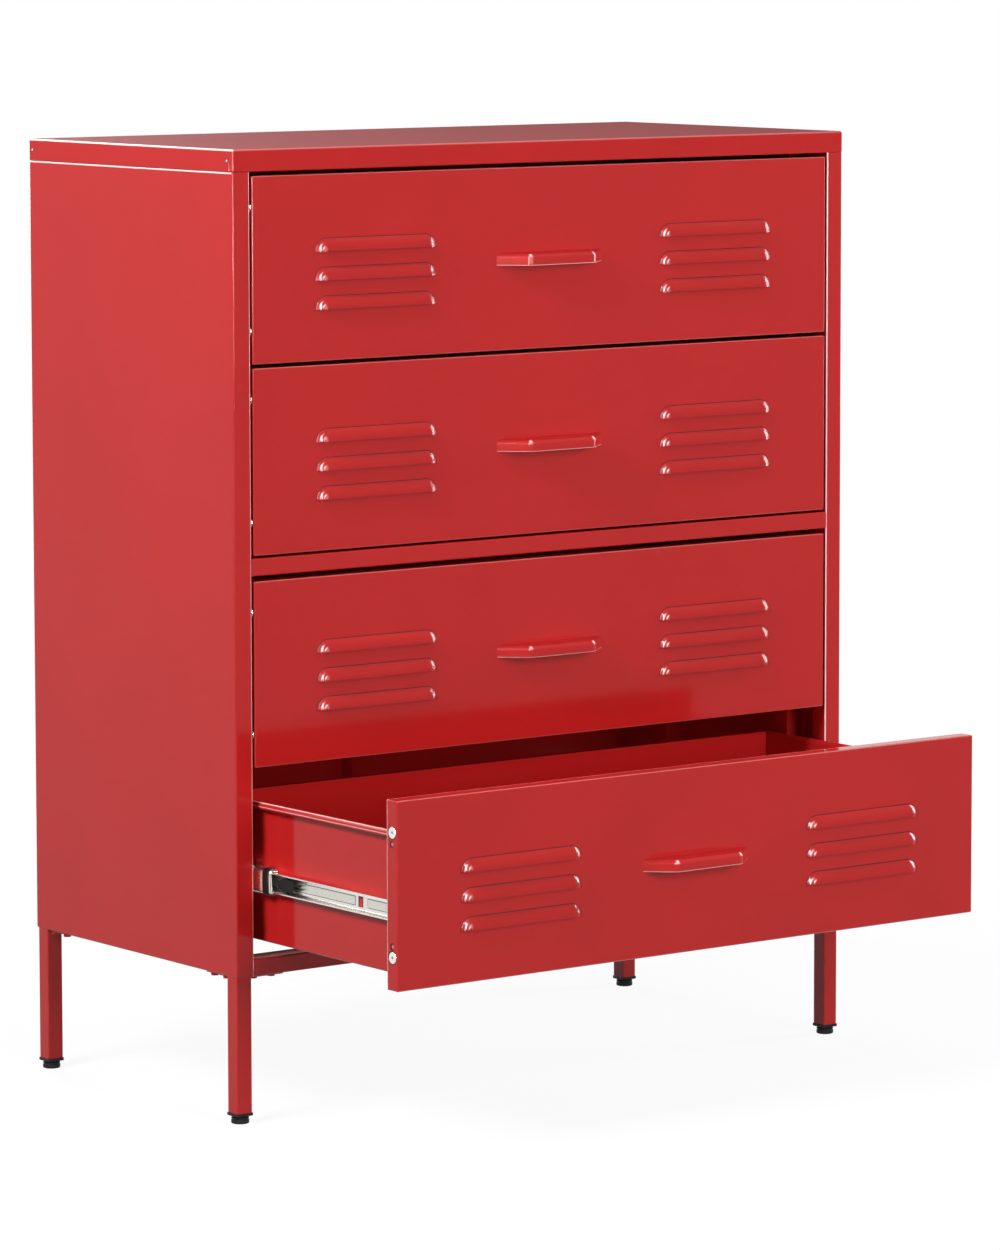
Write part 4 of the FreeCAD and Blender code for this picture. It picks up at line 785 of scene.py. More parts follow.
class CABINET_OT_rails(bpy.types.Operator):
    """Rails: channels with rounded folds that lie open to the back"""
    bl_idname = "cabinet.rails"
    bl_label = "Rails"

    def execute(self, context):
        sheets = context.scene.cabinet_sheets
        for node in ("middle_rail", "bottom_front_rail", "bottom_rear_rail"):
            low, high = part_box(node)
            section = bent_line([(high[1], low[2]), (low[1], low[2]), (low[1], high[2]),
                                 (high[1], high[2])], sheets.bend)
            surface = Surface()
            surface.grid(spread([low[0], high[0]], section[:, :1], section[:, 1:]))
            add_sheet(context, node, surface, "cabinet", "channel")
        return {"FINISHED"}


# Drawers

HOLE_DEPTH = 0.0088
PILOT_RADIUS = 0.0037
PILOT_CELL = 0.0040
# Painted shade on a pilot hole's wall and a faint painted highlight on its floor
PILOT_RINGS = ((0.0035, -0.0001, 1.0), (0.0024, -0.0006, 1.0), (0.0019, -0.0006, -0.3),
               (0.0, -0.0006, -0.3))
PILOT_LEVELS = (0.0445, 0.146)
SEAT_RADIUS = 0.0070
SEAT_CELL = 0.0072
SEAT_LEVELS = (0.033, 0.1575)
# Painted shade in a screw's seat, darkest round its edge
SEAT_RINGS = ((0.0069, -0.0001, 0.9), (0.0067, -0.0005, 1.0), (0.0045, -0.0005, 1.0),
              (0.0, -0.0005, 0.5))
LOUVRES_IN_BANK = 3
LOUVRE_MARGIN = 0.018
LOUVRE_BELOW = 0.0045
LIP_ROW, FOOT_ROW = 0.0012, 0.0007
HOOD_STEPS, FOOT_STEPS = 12, 5
# Painted shade: a little over a hood, dark along its foot and under its lip
HOOD_TONE, FOOT_TONE, LIP_TONE = 0.22, 0.95, 0.9
# Painted highlights, bright arcs on a hood: place round its end in degrees, share of its reach,
# brightness
GLINTS = ((152, 9 / 11, 1.4), (146, 6 / 11, 1.2), (36, 9 / 11, 0.9))
GLINT_TURN, GLINT_REACH = 26, 0.05
# Painted highlights on a front's upper and lower folds and, fainter, on its side folds; a painted
# highlight rising towards the flanges' rear edge
UPPER_FOLD_SHINE, SIDE_FOLD_SHINE = 0.25, 0.05
FLANGE_TONES = np.array([[0.0], [-0.4], [-0.8]])


class CABINET_OT_drawer_fronts(bpy.types.Operator):
    """Drawer fronts: pans with rounded folds, pressed louvres and holes in their side folds"""
    bl_idname = "cabinet.drawer_fronts"
    bl_label = "Drawer Fronts"

    def execute(self, context):
        sheets = context.scene.cabinet_sheets
        louvres = context.scene.cabinet_louvres
        for number in DRAWERS:
            node = f"drawer_{number}_front"
            low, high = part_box(node)
            place = (0.0, high[1] - sheets.front_flange, low[2])
            surface = self.front(sheets, louvres, high[0], high[2] - low[2], place)
            add_sheet(context, node, surface, f"drawer_{number}")
        return {"FINISHED"}

    def front(self, sheets, louvres, half, tall, place):
        bend = sheets.bend
        reach = self.reaches(louvres)
        middle = louvres.span / 2 - louvres.rise
        marks = louvre_marks(reach, middle)
        banks = (-louvres.centre, louvres.centre)
        lips = louvres.lowest + louvres.pitch * np.arange(LOUVRES_IN_BANK)
        across = np.unique(np.concatenate([[bend - half, half - bend],
                                           *(centre + marks for centre in banks)]))
        rows = np.concatenate([[-LOUVRE_BELOW, -LIP_ROW], reach, [LOUVRE_MARGIN]])
        cells = [level + np.array([-half_cell, half_cell]) for levels, half_cell in
                 ((PILOT_LEVELS, PILOT_CELL), (SEAT_LEVELS, SEAT_CELL)) for level in levels]
        up = np.unique(np.concatenate([[bend, tall - bend], *(lip + rows for lip in lips), *cells]))
        surface = Surface()
        self.face(surface, across, up, [(c, lip) for c in banks for lip in lips], middle, place)
        for centre in banks:
            for lip in lips:
                self.louvre(surface, louvres, reach, middle, (centre, lip), place)
        self.folds(surface, sheets, across, up, place)
        return surface

    @staticmethod
    def reaches(louvres):
        """Distances from the lip's line outwards at which the hood is sampled, up to its foot."""
        foot = foot_of(louvres)
        arc = np.linspace(0, louvres.soft_from, HOOD_STEPS)
        soft = np.linspace(louvres.soft_from, foot, FOOT_STEPS)[1:]
        return np.concatenate([arc, soft, [foot + FOOT_ROW]])

    @staticmethod
    def face(surface, across, up, louvre_places, middle, place):
        """Flat sheet on the lines across and up, without the cells that the louvres fill."""
        column = (across[1:] + across[:-1]) / 2
        row = (up[1:] + up[:-1]) / 2
        kept = np.ones((len(row), len(column)), bool)
        for centre, lip in louvre_places:
            inside_across = np.abs(column - centre) < middle + LOUVRE_MARGIN
            inside_up = (row > lip - LOUVRE_BELOW) & (row < lip + LOUVRE_MARGIN)
            kept &= ~(inside_up[:, None] & inside_across)
        rows, columns = np.nonzero(kept)
        corners = np.array([(0, 0), (0, 1), (1, 1), (1, 0)])
        points = np.stack([across[columns[:, None] + corners[:, 1]],
                           np.zeros((len(rows), 4)), up[rows[:, None] + corners[:, 0]]], -1)
        first = surface.keep(points + place)
        surface.quads.append(np.arange(4 * len(rows)).reshape(-1, 4) + first)

    @staticmethod
    def louvre(surface, louvres, reach, middle, at, place):
        """Hood over (ray, reach): rays leave the ends of the lip's middle part at angles whose

        tangents are those of the reaches over the margin, so that they meet the flat sheet's
        lines. The hood stands out by hood_height of its reach, and a last column joins it to the
        rectangle round it. A strip under the lip closes that rectangle.
        """
        upper = np.arctan2(LOUVRE_MARGIN, np.concatenate([reach, [LOUVRE_MARGIN]]))
        angle = np.unique(np.round(np.concatenate([math.pi / 2 - upper, upper]), 12))
        angle = np.concatenate([angle, math.pi - angle[::-1]])
        root = np.where(np.arange(len(angle)) < len(angle) // 2, middle, -middle)
        way = np.stack([np.cos(angle), np.sin(angle)], -1)
        square = way / np.abs(way).max(axis=1, keepdims=True)
        plan = np.concatenate([way[:, None] * reach[:, None],
                               square[:, None] * LOUVRE_MARGIN], axis=1)
        plan[..., 0] += root[:, None]
        out = np.append(hood_height(louvres, reach), 0.0)
        hood = spread(plan[..., 0] + at[0], -out, plan[..., 1] + at[1])
        # Painted shade over the hood and along its foot, painted highlights in arcs round its ends
        tone = np.append(np.full(len(reach) - 3, HOOD_TONE), [FOOT_TONE, FOOT_TONE, 0.0, 0.0])
        turn = np.degrees(angle)[:, None]
        ring = np.append(reach, LOUVRE_MARGIN) / louvres.soft_from
        for end, part, amount in GLINTS:
            glint = np.exp(-((turn - end) / GLINT_TURN) ** 2
                           - ((ring - part) / GLINT_REACH) ** 2)
            tone = tone - amount * glint
        surface.grid(hood + place, tone=tone)
        marks = louvre_marks(reach, middle) + at[0]
        levels = np.array([-LOUVRE_BELOW, -LIP_ROW, 0.0]) + at[1]
        under = np.abs(marks - at[0]) < middle + reach[-1]
        # Painted shade along the lip
        surface.grid(spread(marks, 0.0, levels[:, None]) + place,
                     tone=np.outer([0.0, 0.0, LIP_TONE], under))

    def folds(self, surface, sheets, across, up, place):
        """Rounded edges and flanges, whose sides have round pilot holes in square cells."""
        bend, flange = sheets.bend, sheets.front_flange
        turn = arc_steps()
        depths = HOLE_DEPTH + np.array([-SEAT_CELL, -PILOT_CELL, PILOT_CELL, SEAT_CELL])
        profile = [*zip(bend * np.sin(turn), bend * (1 - np.cos(turn))),
                   *((bend, depth) for depth in (*depths, flange - FOOT_ROW, flange))]
        rim = pan_rim(across, up, profile)
        rim = rim[..., [0, 2, 1]] + place
        rim = np.concatenate([rim, rim[:, :1]], axis=1)
        row = len(turn)
        middle = (rim[row, :-1] + rim[row, 1:]) / 2
        upright = np.abs(rim[row, 1:, 0] - rim[row, :-1, 0]) < MICRON
        level = (middle[:, 2] - place[2])[:, None]
        seated = upright & (np.abs(level - SEAT_LEVELS) < SEAT_CELL / 2).any(axis=1)
        pierced = upright & (np.abs(level - PILOT_LEVELS) < PILOT_CELL / 2).any(axis=1)
        sideways = np.abs(rim[0, :, 0] - rim[row - 1, :, 0]) > MICRON
        # Painted highlights in the folds and down the flanges
        shine = np.outer(np.append(-np.sin(2 * turn), 0.0),
                         np.where(sideways, SIDE_FOLD_SHINE, UPPER_FOLD_SHINE))
        surface.grid(rim[:row + 1], flip=True, tone=shine)
        surface.grid(rim[row + 3:], flip=True, tone=FLANGE_TONES)
        for start, end in runs(~seated):
            surface.grid(rim[row:row + 2, start:end + 1], flip=True)
            surface.grid(rim[row + 2:row + 4, start:end + 1], flip=True)
        for start, end in runs(~seated & ~pierced):
            surface.grid(rim[row + 1:row + 3, start:end + 1], flip=True)
        for column in np.flatnonzero(pierced):
            round_cell(surface, rim[row + 1:row + 3, column:column + 2], PILOT_RADIUS,
                       PILOT_RINGS)
        for column in np.flatnonzero(seated):
            round_cell(surface, rim[row:row + 4, column:column + 2], SEAT_RADIUS, SEAT_RINGS)


def louvre_marks(reach, middle):
    """Lines across a louvre: its reaches and margin beyond both ends of its middle part."""
    right = np.append(middle + reach, middle + LOUVRE_MARGIN)
    return np.concatenate([-right[::-1], right])


def hood_curve(louvres):
    """Distance of the hood's middle line behind the sheet, and the radius about that line."""
    back = (louvres.rise ** 2 - louvres.out ** 2) / (2 * louvres.out)
    return back, back + louvres.out


def foot_of(louvres):
    """Reach at which the soft foot meets the flat sheet: twice the height over the slope away."""
    back, curve = hood_curve(louvres)
    fall = math.sqrt(curve ** 2 - louvres.soft_from ** 2)
    return louvres.soft_from + 2 * (fall - back) * fall / louvres.soft_from


def hood_height(louvres, reach):
    """Circular arc about a line behind the sheet, then a parabola that is flat at the foot."""
    back, curve = hood_curve(louvres)
    turn, foot = louvres.soft_from, foot_of(louvres)
    slope = turn / math.sqrt(curve ** 2 - turn ** 2)
    arc = np.sqrt(curve ** 2 - np.minimum(reach, turn) ** 2) - back
    parabola = slope / (2 * (foot - turn)) * np.maximum(foot - reach, 0) ** 2
    return np.where(reach < turn, arc, parabola)


PULL_CORNER_STEPS, PULL_EDGE_STEPS = 14, 8
# Painted highlight along a pull's lower edge, painted shade over its top
LOWER_EDGE_SHINE, PULL_TOP_TONE = 0.75, 0.3
# Painted highlights on a pull's front corners: places along its line, spread along and across it
CORNER_GLINTS, CORNER_SHINE, ALONG_GLINT, ACROSS_GLINT = (8, 23), 1.2, 4.0, 1.8


class CABINET_OT_pulls(bpy.types.Operator):
    """Finger pulls: a rounded cap whose plan narrows to its front, open underneath"""
    bl_idname = "cabinet.pulls"
    bl_label = "Finger Pulls"

    def execute(self, context):
        pull = context.scene.cabinet_pull
        for number in DRAWERS:
            node = f"drawer_{number}_handle"
            low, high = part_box(node)
            surface = self.pull(pull, low[1] + pull.out, low[2], high[2])
            add_piece(f"drawer_{number}_pull", surface, red_coat(context),
                      f"drawer_{number}", [node], pull.wall)
        return {"FINISHED"}

    @staticmethod
    def pull(pull, face, low, high):
        """A section carried along the plan line: lower edge, wall, quarter-round upper edge, then

        straight back to the drawer front. Points move in from the line along its own normal.
        """
        foot, front = pull.foot_width / 2, pull.face_width / 2
        line = bent_line([(-foot, 0), (-front, -pull.out), (front, -pull.out), (foot, 0)],
                         pull.corner, PULL_CORNER_STEPS)
        step = np.gradient(line, axis=0)
        step[1:-1] = line[2:] - line[:-2]
        normal = np.stack([step[:, 1], -step[:, 0]], -1)
        normal /= np.linalg.norm(normal, axis=1, keepdims=True)
        turn = arc_steps(PULL_EDGE_STEPS)
        small, large = pull.lower_edge, pull.upper_edge
        inset = np.concatenate([small * (1 - np.sin(turn)),
                                pull.upper_inset * (1 - np.cos(turn))])
        level = np.concatenate([low + small * (1 - np.cos(turn)),
                                high - large + large * np.sin(turn)])
        section = line - normal * inset[:, None, None]
        section[..., 1] = np.minimum(section[..., 1], 0.0)
        back = section[-1].copy()
        back[:, 1] = 0.0
        section = np.concatenate([section, back[None]])
        level = np.append(level, high)
        points = spread(section[..., 0], section[..., 1] + face, level[:, None])
        # Painted highlight on the lower edge, painted shade on the top and painted highlights at
        # the front corners
        shine = np.zeros(points.shape[:2])
        shine[:len(turn)] = -LOWER_EDGE_SHINE * np.sin(2 * turn)[:, None]
        shine[len(turn) + 3:] = PULL_TOP_TONE
        edge = np.exp(-((np.arange(len(points)) - len(turn) - 3.5) / ACROSS_GLINT) ** 2)
        for corner in CORNER_GLINTS:
            along = np.exp(-((np.arange(len(line)) - corner) / ALONG_GLINT) ** 2)
            shine -= CORNER_SHINE * np.outer(edge, along)
        surface = Surface()
        surface.grid(points, tone=shine)
        return surface


BEAD_RISE = 0.140
FOLD_DEPTH = 0.0154
BEAD_POINTS = 30
# Painted highlights along a bead: angle in degrees, width in radians, brightness
BEAD_GLINTS = ((66, 0.20, 1.0), (-4, 0.13, 0.7))


class CABINET_OT_drawer_sides(bpy.types.Operator):
    """Drawer sides: bottom flange, web and rolled top edge, and the fold behind the front"""
    bl_idname = "cabinet.drawer_sides"
    bl_label = "Drawer Sides"

    def execute(self, context):
        sheets = context.scene.cabinet_sheets
        for number in DRAWERS:
            for name, side in SIDES:
                node = f"drawer_{number}_side_{name}"
                surface = self.side(sheets, side, node)
                add_sheet(context, node, surface, f"drawer_{number}")
        return {"FINISHED"}

    @staticmethod
    def side(sheets, side, node):
        """A section line along Y: flange, web, then most of a turn about the bead's middle."""
        low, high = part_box(node)
        gauge, bead = sheets.gauge, sheets.bead_radius
        tip = min(abs(low[0]), abs(high[0]))
        fold_outer = max(abs(low[0]), abs(high[0]))
        inner = tip + sheets.side_flange - gauge
        bead_level = low[2] + BEAD_RISE
        back_of_fold = low[1] + FOLD_DEPTH
        curl = np.radians(np.linspace(180, -128, BEAD_POINTS))[1:]
        web = bent_line([(tip, low[2] + gauge), (inner, low[2] + gauge), (inner, bead_level)],
                        gauge, CORNER_STEPS)
        rolled = np.stack([inner + bead + bead * np.cos(curl),
                           bead_level + bead * np.sin(curl)], -1)
        line = np.concatenate([web, rolled])
        # Painted highlights along the bead
        shine = np.zeros((len(line), 1))
        shine[len(web):, 0] = -sum(amount * np.exp(-((curl - math.radians(turn)) / width) ** 2)
                                   for turn, width, amount in BEAD_GLINTS)
        wall = spread(line[:, :1] * side, [back_of_fold, high[1]], line[:, 1:])
        surface = Surface()
        surface.grid(wall, flip=side > 0, tone=shine)
        plan = bent_line([(inner + gauge * 0.5, back_of_fold), (fold_outer, back_of_fold),
                          (fold_outer, low[1])], sheets.bend)
        levels = np.array([low[2] + gauge, high[2]])
        surface.grid(spread(plan[:, 0] * side, plan[:, 1], levels[:, None]), flip=side > 0)
        return surface


class CABINET_OT_drawer_backs(bpy.types.Operator):
    """Drawer backs: sheets with folds turned to the rear at both sides and along the top"""
    bl_idname = "cabinet.drawer_backs"
    bl_label = "Drawer Backs"

    def execute(self, context):
        sheets = context.scene.cabinet_sheets
        bend = sheets.bend
        turn = arc_steps()
        for number in DRAWERS:
            node = f"drawer_{number}_back"
            low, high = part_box(node)
            plan = [(low[0], high[1]), (low[0], low[1]), (high[0], low[1]), (high[0], high[1])]
            surface = Surface()
            raise_line(surface, bent_line(plan, bend), [low[2], high[2] - bend])
            fold = [*zip(low[1] + bend * (1 - np.cos(turn)), high[2] - bend + bend * np.sin(turn)),
                    (high[1], high[2])]
            across = np.array([low[0] + bend, high[0] - bend])
            fold = np.array([[(x, y, z) for x in across] for y, z in fold])
            surface.grid(fold)
            add_sheet(context, node, surface, f"drawer_{number}")
        return {"FINISHED"}


# Slides

SHEET_CLEAR = 0.0002
# Flat rims of a drawer member: before a panel, to the slot, from the slot, behind a panel
PANEL_RIMS = (0.0060, 0.0080, 0.0055, 0.012)
# Painted shade in the grooves round the raised panels and at the slot's ends; the raised panels are
# a little darker
OUTLINE_TONE, PANEL_TONE, SLOT_TONE = 0.95, 0.24, 0.9
CAGE_CLEAR, TIP_CLEAR = 0.0004, 0.001
CAGE_TEETH, SLEEVE_TEETH, SLEEVE_START, SLEEVE_PLAY = 0.0024, 0.0016, 0.0008, 0.0001
RACE_STEPS = 8
STUD_CLEAR, STUD_EDGE, STUD_STEPS = 0.0004, 0.0003, 24
LEVER_PLAY, LEVER_EDGE = 0.0001, 0.0005
HOOK_PLAY, HOOK_EDGE, HOOK_OUT = 0.0008, 0.0004, 0.0002


def slide_place(number):
    """Front end and middle level of a drawer's slide members."""
    low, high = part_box(f"drawer_{number}_runners")
    return low[1], (low[2] + high[2]) / 2


def race_line(web, tip, half, bend, rows=()):
    """C-shaped section (x, z): a flat web between large bends that serve as ball races."""
    line = bent_line([(tip, -half), (web, -half), (web, half), (tip, half)], bend,
                     RACE_STEPS)
    middle = len(line) // 2
    rows = np.asarray(rows, float)
    return np.concatenate([line[:middle], np.stack([np.full(len(rows), web), rows], -1),
                           line[middle:]])


def member_points(line, along, side, level, teeth=0.0):
    """Section carried along Y; teeth set every other point of its front end back."""
    points = spread(line[:, :1] * side, along, line[:, 1:] + level)
    points[::2, 0, 1] += teeth
    return points


def outer_faces_left(line, side):
    """Whether the grid of a member has to be turned for its outer face to look away from it."""
    return (line[len(line) // 2, 0] - line[0, 0]) * side < 0


class CABINET_OT_drawer_members(bpy.types.Operator):
    """Drawer members of the slides: races along both edges, raised panels and a slot"""
    bl_idname = "cabinet.drawer_members"
    bl_label = "Drawer Members"

    def execute(self, context):
        slides = context.scene.cabinet_slides
        for number in DRAWERS:
            node = f"drawer_{number}_runners"
            surface = Surface()
            for _, side in SIDES:
                self.member(surface, slides, node, side)
            add_piece(f"drawer_{number}_slide", surface, zinc(context),
                      f"drawer_{number}", [node], slides.gauge)
            studs = Surface()
            self.studs(studs, slides, node, number)
            add_piece(f"drawer_{number}_lever_studs", studs, black(context),
                      f"drawer_{number}", [node])
        return {"FINISHED"}

    @staticmethod
    def member(surface, slides, node, side):
        """Grid over the section and Y with a cell left out for the slot, and raised panels."""
        low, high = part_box(node)
        level, half = (low[2] + high[2]) / 2, (high[2] - low[2]) / 2
        flat = half - slides.race_bend
        line_width = slides.outline
        rows = flat - np.array([0.0, 1.0, 2.0]) * line_width - SHEET_CLEAR
        rows = np.concatenate([-rows, rows[::-1]])
        web = high[0] - slides.drawer_reach
        line = race_line(web, high[0], half, slides.race_bend, rows)
        slot = low[1] + slides.slot_back + np.array([-0.5, 0.5]) * slides.slot_width
        before, to_slot, from_slot, behind = PANEL_RIMS
        panels = np.array([(low[1] + before, slot[0] - to_slot),
                           (slot[1] + from_slot, high[1] - behind)])
        edges = panels[..., None] + np.array([-1.0, 0.0, 1.0]) * line_width
        rim = np.array([-1.0, 1.0]) * line_width
        along = np.sort(np.concatenate([[low[1], high[1]], slot, slot + rim, edges.ravel()]))
        points = member_points(line, along, side, level)
        inside_rows = np.abs(line[:, 1]) < flat - line_width * 0.5
        panel_rows = np.abs(line[:, 1]) < flat - line_width * 1.5
        near = along[:, None, None] - panels
        inside = ((near[..., 0] > -MICRON) & (near[..., 1] < MICRON)).any(axis=1)
        panel = ((near[..., 0] > MICRON) & (near[..., 1] < -MICRON)).any(axis=1)
        raised = np.outer(panel_rows, panel)
        outlined = np.outer(inside_rows, inside) & ~raised
        points[..., 0] += raised * slides.raised * side - outlined * SHEET_CLEAR * side
        first, last = np.searchsorted(along, slot - MICRON)
        bottom, top = np.flatnonzero(np.abs(np.abs(line[:, 1]) - rows[-1]) < MICRON)
        # Painted shade in the grooves and at the slot's ends, a little over the panels
        tone = outlined * OUTLINE_TONE + raised * PANEL_TONE
        tone[bottom:top + 1, [first, last]] = SLOT_TONE
        flip = outer_faces_left(line, side)
        for grid_rows, columns in ((slice(None), slice(None, first + 1)),
                                   (slice(None), slice(last, None)),
                                   (slice(None, bottom + 1), slice(first, last + 1)),
                                   (slice(top, None), slice(first, last + 1))):
            surface.grid(points[grid_rows, columns], flip=flip, tone=tone[grid_rows, columns])

    @staticmethod
    def studs(surface, slides, node, number):
        low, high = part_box(node)
        lever_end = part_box(f"drawer_{number}_release_levers")[1][1]
        web = high[0] - slides.drawer_reach + slides.gauge
        place_y = lever_end - slides.stud_back
        tall = high[0] - web - STUD_CLEAR
        profile = [(slides.stud, 0), (slides.stud, tall - STUD_EDGE),
                   (slides.stud - STUD_EDGE, tall), (0.0, tall)]
        for _, side in SIDES:
            place = (web * side, place_y, (low[2] + high[2]) / 2)
            turned(surface, profile, place, (side, 0, 0), STUD_STEPS)


class CABINET_OT_middle_members(bpy.types.Operator):
    """Intermediate members of the slides, with toothed ball cages in their races"""
    bl_idname = "cabinet.middle_members"
    bl_label = "Intermediate Members"

    def execute(self, context):
        slides = context.scene.cabinet_slides
        for number in DRAWERS:
            node = f"drawer_{number}_mid_runners"
            low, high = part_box(node)
            level = slide_place(number)[1]
            web, tip = slides.middle_tip + slides.middle_reach, slides.middle_tip
            member, cages, sleeves = Surface(), Surface(), Surface()
            start = low[1] + slides.cage_front
            for _, side in SIDES:
                line = race_line(web, tip, slides.middle_half, slides.race_bend)
                flip = outer_faces_left(line, side)
                member.grid(member_points(line, np.array([start, high[1]]), side, level),
                            flip=flip)
                inner = race_line(web - slides.gauge - CAGE_CLEAR, tip + TIP_CLEAR,
                                  slides.inner_cage_half, slides.cage_bend)
                reach = low[1] + np.array([0.0, slides.cage_length])
                cages.grid(member_points(inner, reach, side, level, CAGE_TEETH), flip=flip)
                outer = race_line(web + slides.sleeve, tip + TIP_CLEAR,
                                  slides.middle_half + slides.sleeve, slides.race_bend)
                reach = start + np.array([SLEEVE_START, slides.sleeve_length])
                sleeves.grid(member_points(outer, reach, side, level, SLEEVE_TEETH),
                             flip=flip)
            body = f"slide_middle_{number}"
            add_piece(f"drawer_{number}_middle_slide", member, zinc(context),
                      body, [node], slides.gauge)
            add_piece(f"drawer_{number}_ball_cages", cages, zinc(context),
                      body, [node], slides.cage_gauge)
            add_piece(f"drawer_{number}_end_sleeves", sleeves, black(context),
                      body, [node], slides.sleeve - SLEEVE_PLAY)
        return {"FINISHED"}


class CABINET_OT_cabinet_members(bpy.types.Operator):
    """Cabinet members of the slides, which the intermediate members run in"""
    bl_idname = "cabinet.cabinet_members"
    bl_label = "Cabinet Members"

    def execute(self, context):
        slides = context.scene.cabinet_slides
        low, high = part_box("cabinet_runners")
        tip = high[0] - slides.outer_reach
        line = race_line(high[0], tip, slides.outer_half, slides.race_bend)
        surface = Surface()
        for number in DRAWERS:
            level = slide_place(number)[1]
            for _, side in SIDES:
                points = member_points(line, np.array([low[1], high[1]]), side, level)
                surface.grid(points, flip=outer_faces_left(line, side))
        add_piece("cabinet_slides", surface, zinc(context), "cabinet",
                  ["cabinet_runners"], slides.gauge)
        return {"FINISHED"}


class CABINET_OT_release_levers(bpy.types.Operator):
    """Release levers: forked black blocks with rounded edges"""
    bl_idname = "cabinet.release_levers"
    bl_label = "Release Levers"

    def execute(self, context):
        slides = context.scene.cabinet_slides
        for number in DRAWERS:
            node = f"drawer_{number}_release_levers"
            low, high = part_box(node)
            level, half = (low[2] + high[2]) / 2, (high[2] - low[2]) / 2
            tips, front, rear = low[1], low[1] + slides.fork, high[1]
            taper, waist, slit = high[1] - slides.taper, slides.waist, slides.slit
            upper = [(rear, waist), (taper, half), (front, half), (front, waist), (tips, waist),
                     (tips, slit), (front, slit)]
            outline = np.array(upper + [(y, -z) for y, z in upper[::-1]]) + (0.0, level)
            near = slides.middle_tip + LEVER_PLAY
            surface = Surface()
            for _, side in SIDES:
                prism(surface, outline, near * side, high[0] * side)
            add_piece(f"drawer_{number}_levers", surface, black(context),
                      f"release_levers_{number}", [node], bevel=LEVER_EDGE)
        return {"FINISHED"}


class CABINET_OT_drawer_hooks(bpy.types.Operator):
    """Drawer hooks: tabs on the drawer sides that stand in the slots of the slides"""
    bl_idname = "cabinet.drawer_hooks"
    bl_label = "Drawer Hooks"

    def execute(self, context):
        slides = context.scene.cabinet_slides
        deep, tall = slides.slot_width / 2 - HOOK_PLAY, slides.slot_height / 2 - HOOK_PLAY
        outline = np.array([(-deep, -tall), (deep, -tall), (deep, tall), (-deep, tall)])
        for number in DRAWERS:
            front, level = slide_place(number)
            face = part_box(f"drawer_{number}_runners")[1][0] - slides.drawer_reach
            for name, side in SIDES:
                surface = Surface()
                prism(surface, outline + (front + slides.slot_back, level),
                      (face - HOOK_OUT) * side, (face + slides.gauge) * side)
                add_piece(f"drawer_{number}_hook_{name}", surface, red_coat(context),
                          f"drawer_{number}", [f"drawer_{number}_side_{name}"],
                          bevel=HOOK_EDGE)
        return {"FINISHED"}


# Screws and feet

# Radius, height and recess of a pull screw's head, and its seat behind the front face
PULL_SCREW = (0.0035, 0.002, 0.0018)
PULL_SCREW_SEAT = 0.0008
CROSS_WIDTH, CROSS_END, CROSS_DEPTH, CROSS_SOFT = 0.24, 0.4, 0.6, 0.0002
HEAD_STEPS = FOOT_COLUMNS = 64
HEAD_EDGE, HEAD_EDGE_SHARE, HEAD_EDGE_STEPS, HEAD_RINGS = 0.0005, 0.8, 3, 16


class CABINET_OT_drawer_screws(bpy.types.Operator):
    """Drawer screws: flat heads with a cross recess at the corners, pan heads behind the pull"""
    bl_idname = "cabinet.drawer_screws"
    bl_label = "Drawer Screws"

    def execute(self, context):
        screws = context.scene.cabinet_screws
        for number in DRAWERS:
            front_low, front_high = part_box(f"drawer_{number}_front")
            face = front_high[0] - screws.sunk
            surface = Surface()
            for level in (screws.low_level, screws.high_level):
                for _, side in SIDES:
                    place = (face * side, front_face(number) + screws.depth,
                             front_low[2] + level)
                    self.head(surface, screws.head, screws.thick, screws.arm, place, (side, 0, 0))
            pull_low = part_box(f"drawer_{number}_handle")[0]
            for _, side in SIDES:
                place = (screws.pull_spacing / 2 * side, front_face(number) + PULL_SCREW_SEAT,
                         pull_low[2] + screws.pull_level)
                self.head(surface, *PULL_SCREW, place, (0, 1, 0))
            add_piece(f"drawer_{number}_screw_heads", surface, steel(context),
                      f"drawer_{number}", [f"drawer_{number}_screws"])
        return {"FINISHED"}

    @staticmethod
    def head(surface, radius, thick, arm, place, axis):
        """Low dome turned from a profile, less a cross whose arms get shallow outwards."""
        def cross(distance, angle):
            off_arm = np.minimum(np.abs(distance * np.cos(angle)), np.abs(distance * np.sin(angle)))
            depth = np.clip((arm * CROSS_WIDTH - off_arm) / CROSS_SOFT + 0.5, 0, 1)
            ends = np.clip((arm - distance) / (arm * CROSS_END), 0, 1)
            return -depth * ends * thick * CROSS_DEPTH
        edge = min(HEAD_EDGE, thick * HEAD_EDGE_SHARE)
        turn = arc_steps(HEAD_EDGE_STEPS)
        rim = [*zip(radius - edge + edge * np.cos(turn), thick - edge + edge * np.sin(turn))]
        top = [(distance, thick) for distance in np.linspace(radius - 2 * edge, 0, HEAD_RINGS)]
        # Painted shade in the cross recess, darker where it is deeper
        turned(surface, [(radius - edge, 0), *rim, *top], place, axis, HEAD_STEPS, cross,
               thick * CROSS_DEPTH)


def front_face(number):
    """Place of a drawer's front face along Y."""
    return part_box(f"drawer_{number}_handle")[1][1]


def leg_middles():
    """Name of each leg, with the middle of its foot and the lower end of its tube."""
    for name in CORNERS:
        foot_low, foot_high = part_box(f"levelling_foot_{name}")
        yield name, (np.array(foot_low) + foot_high) / 2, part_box(f"leg_{name}")[0][2]


# Knurl of a foot: depth, every how many columns, and the wall's play and levels
KNURL_DEPTH, KNURL_EVERY = 0.0004, 4
KNURL_PLAY, KNURL_LOW, KNURL_HIGH = 0.0003, 0.001, 0.006


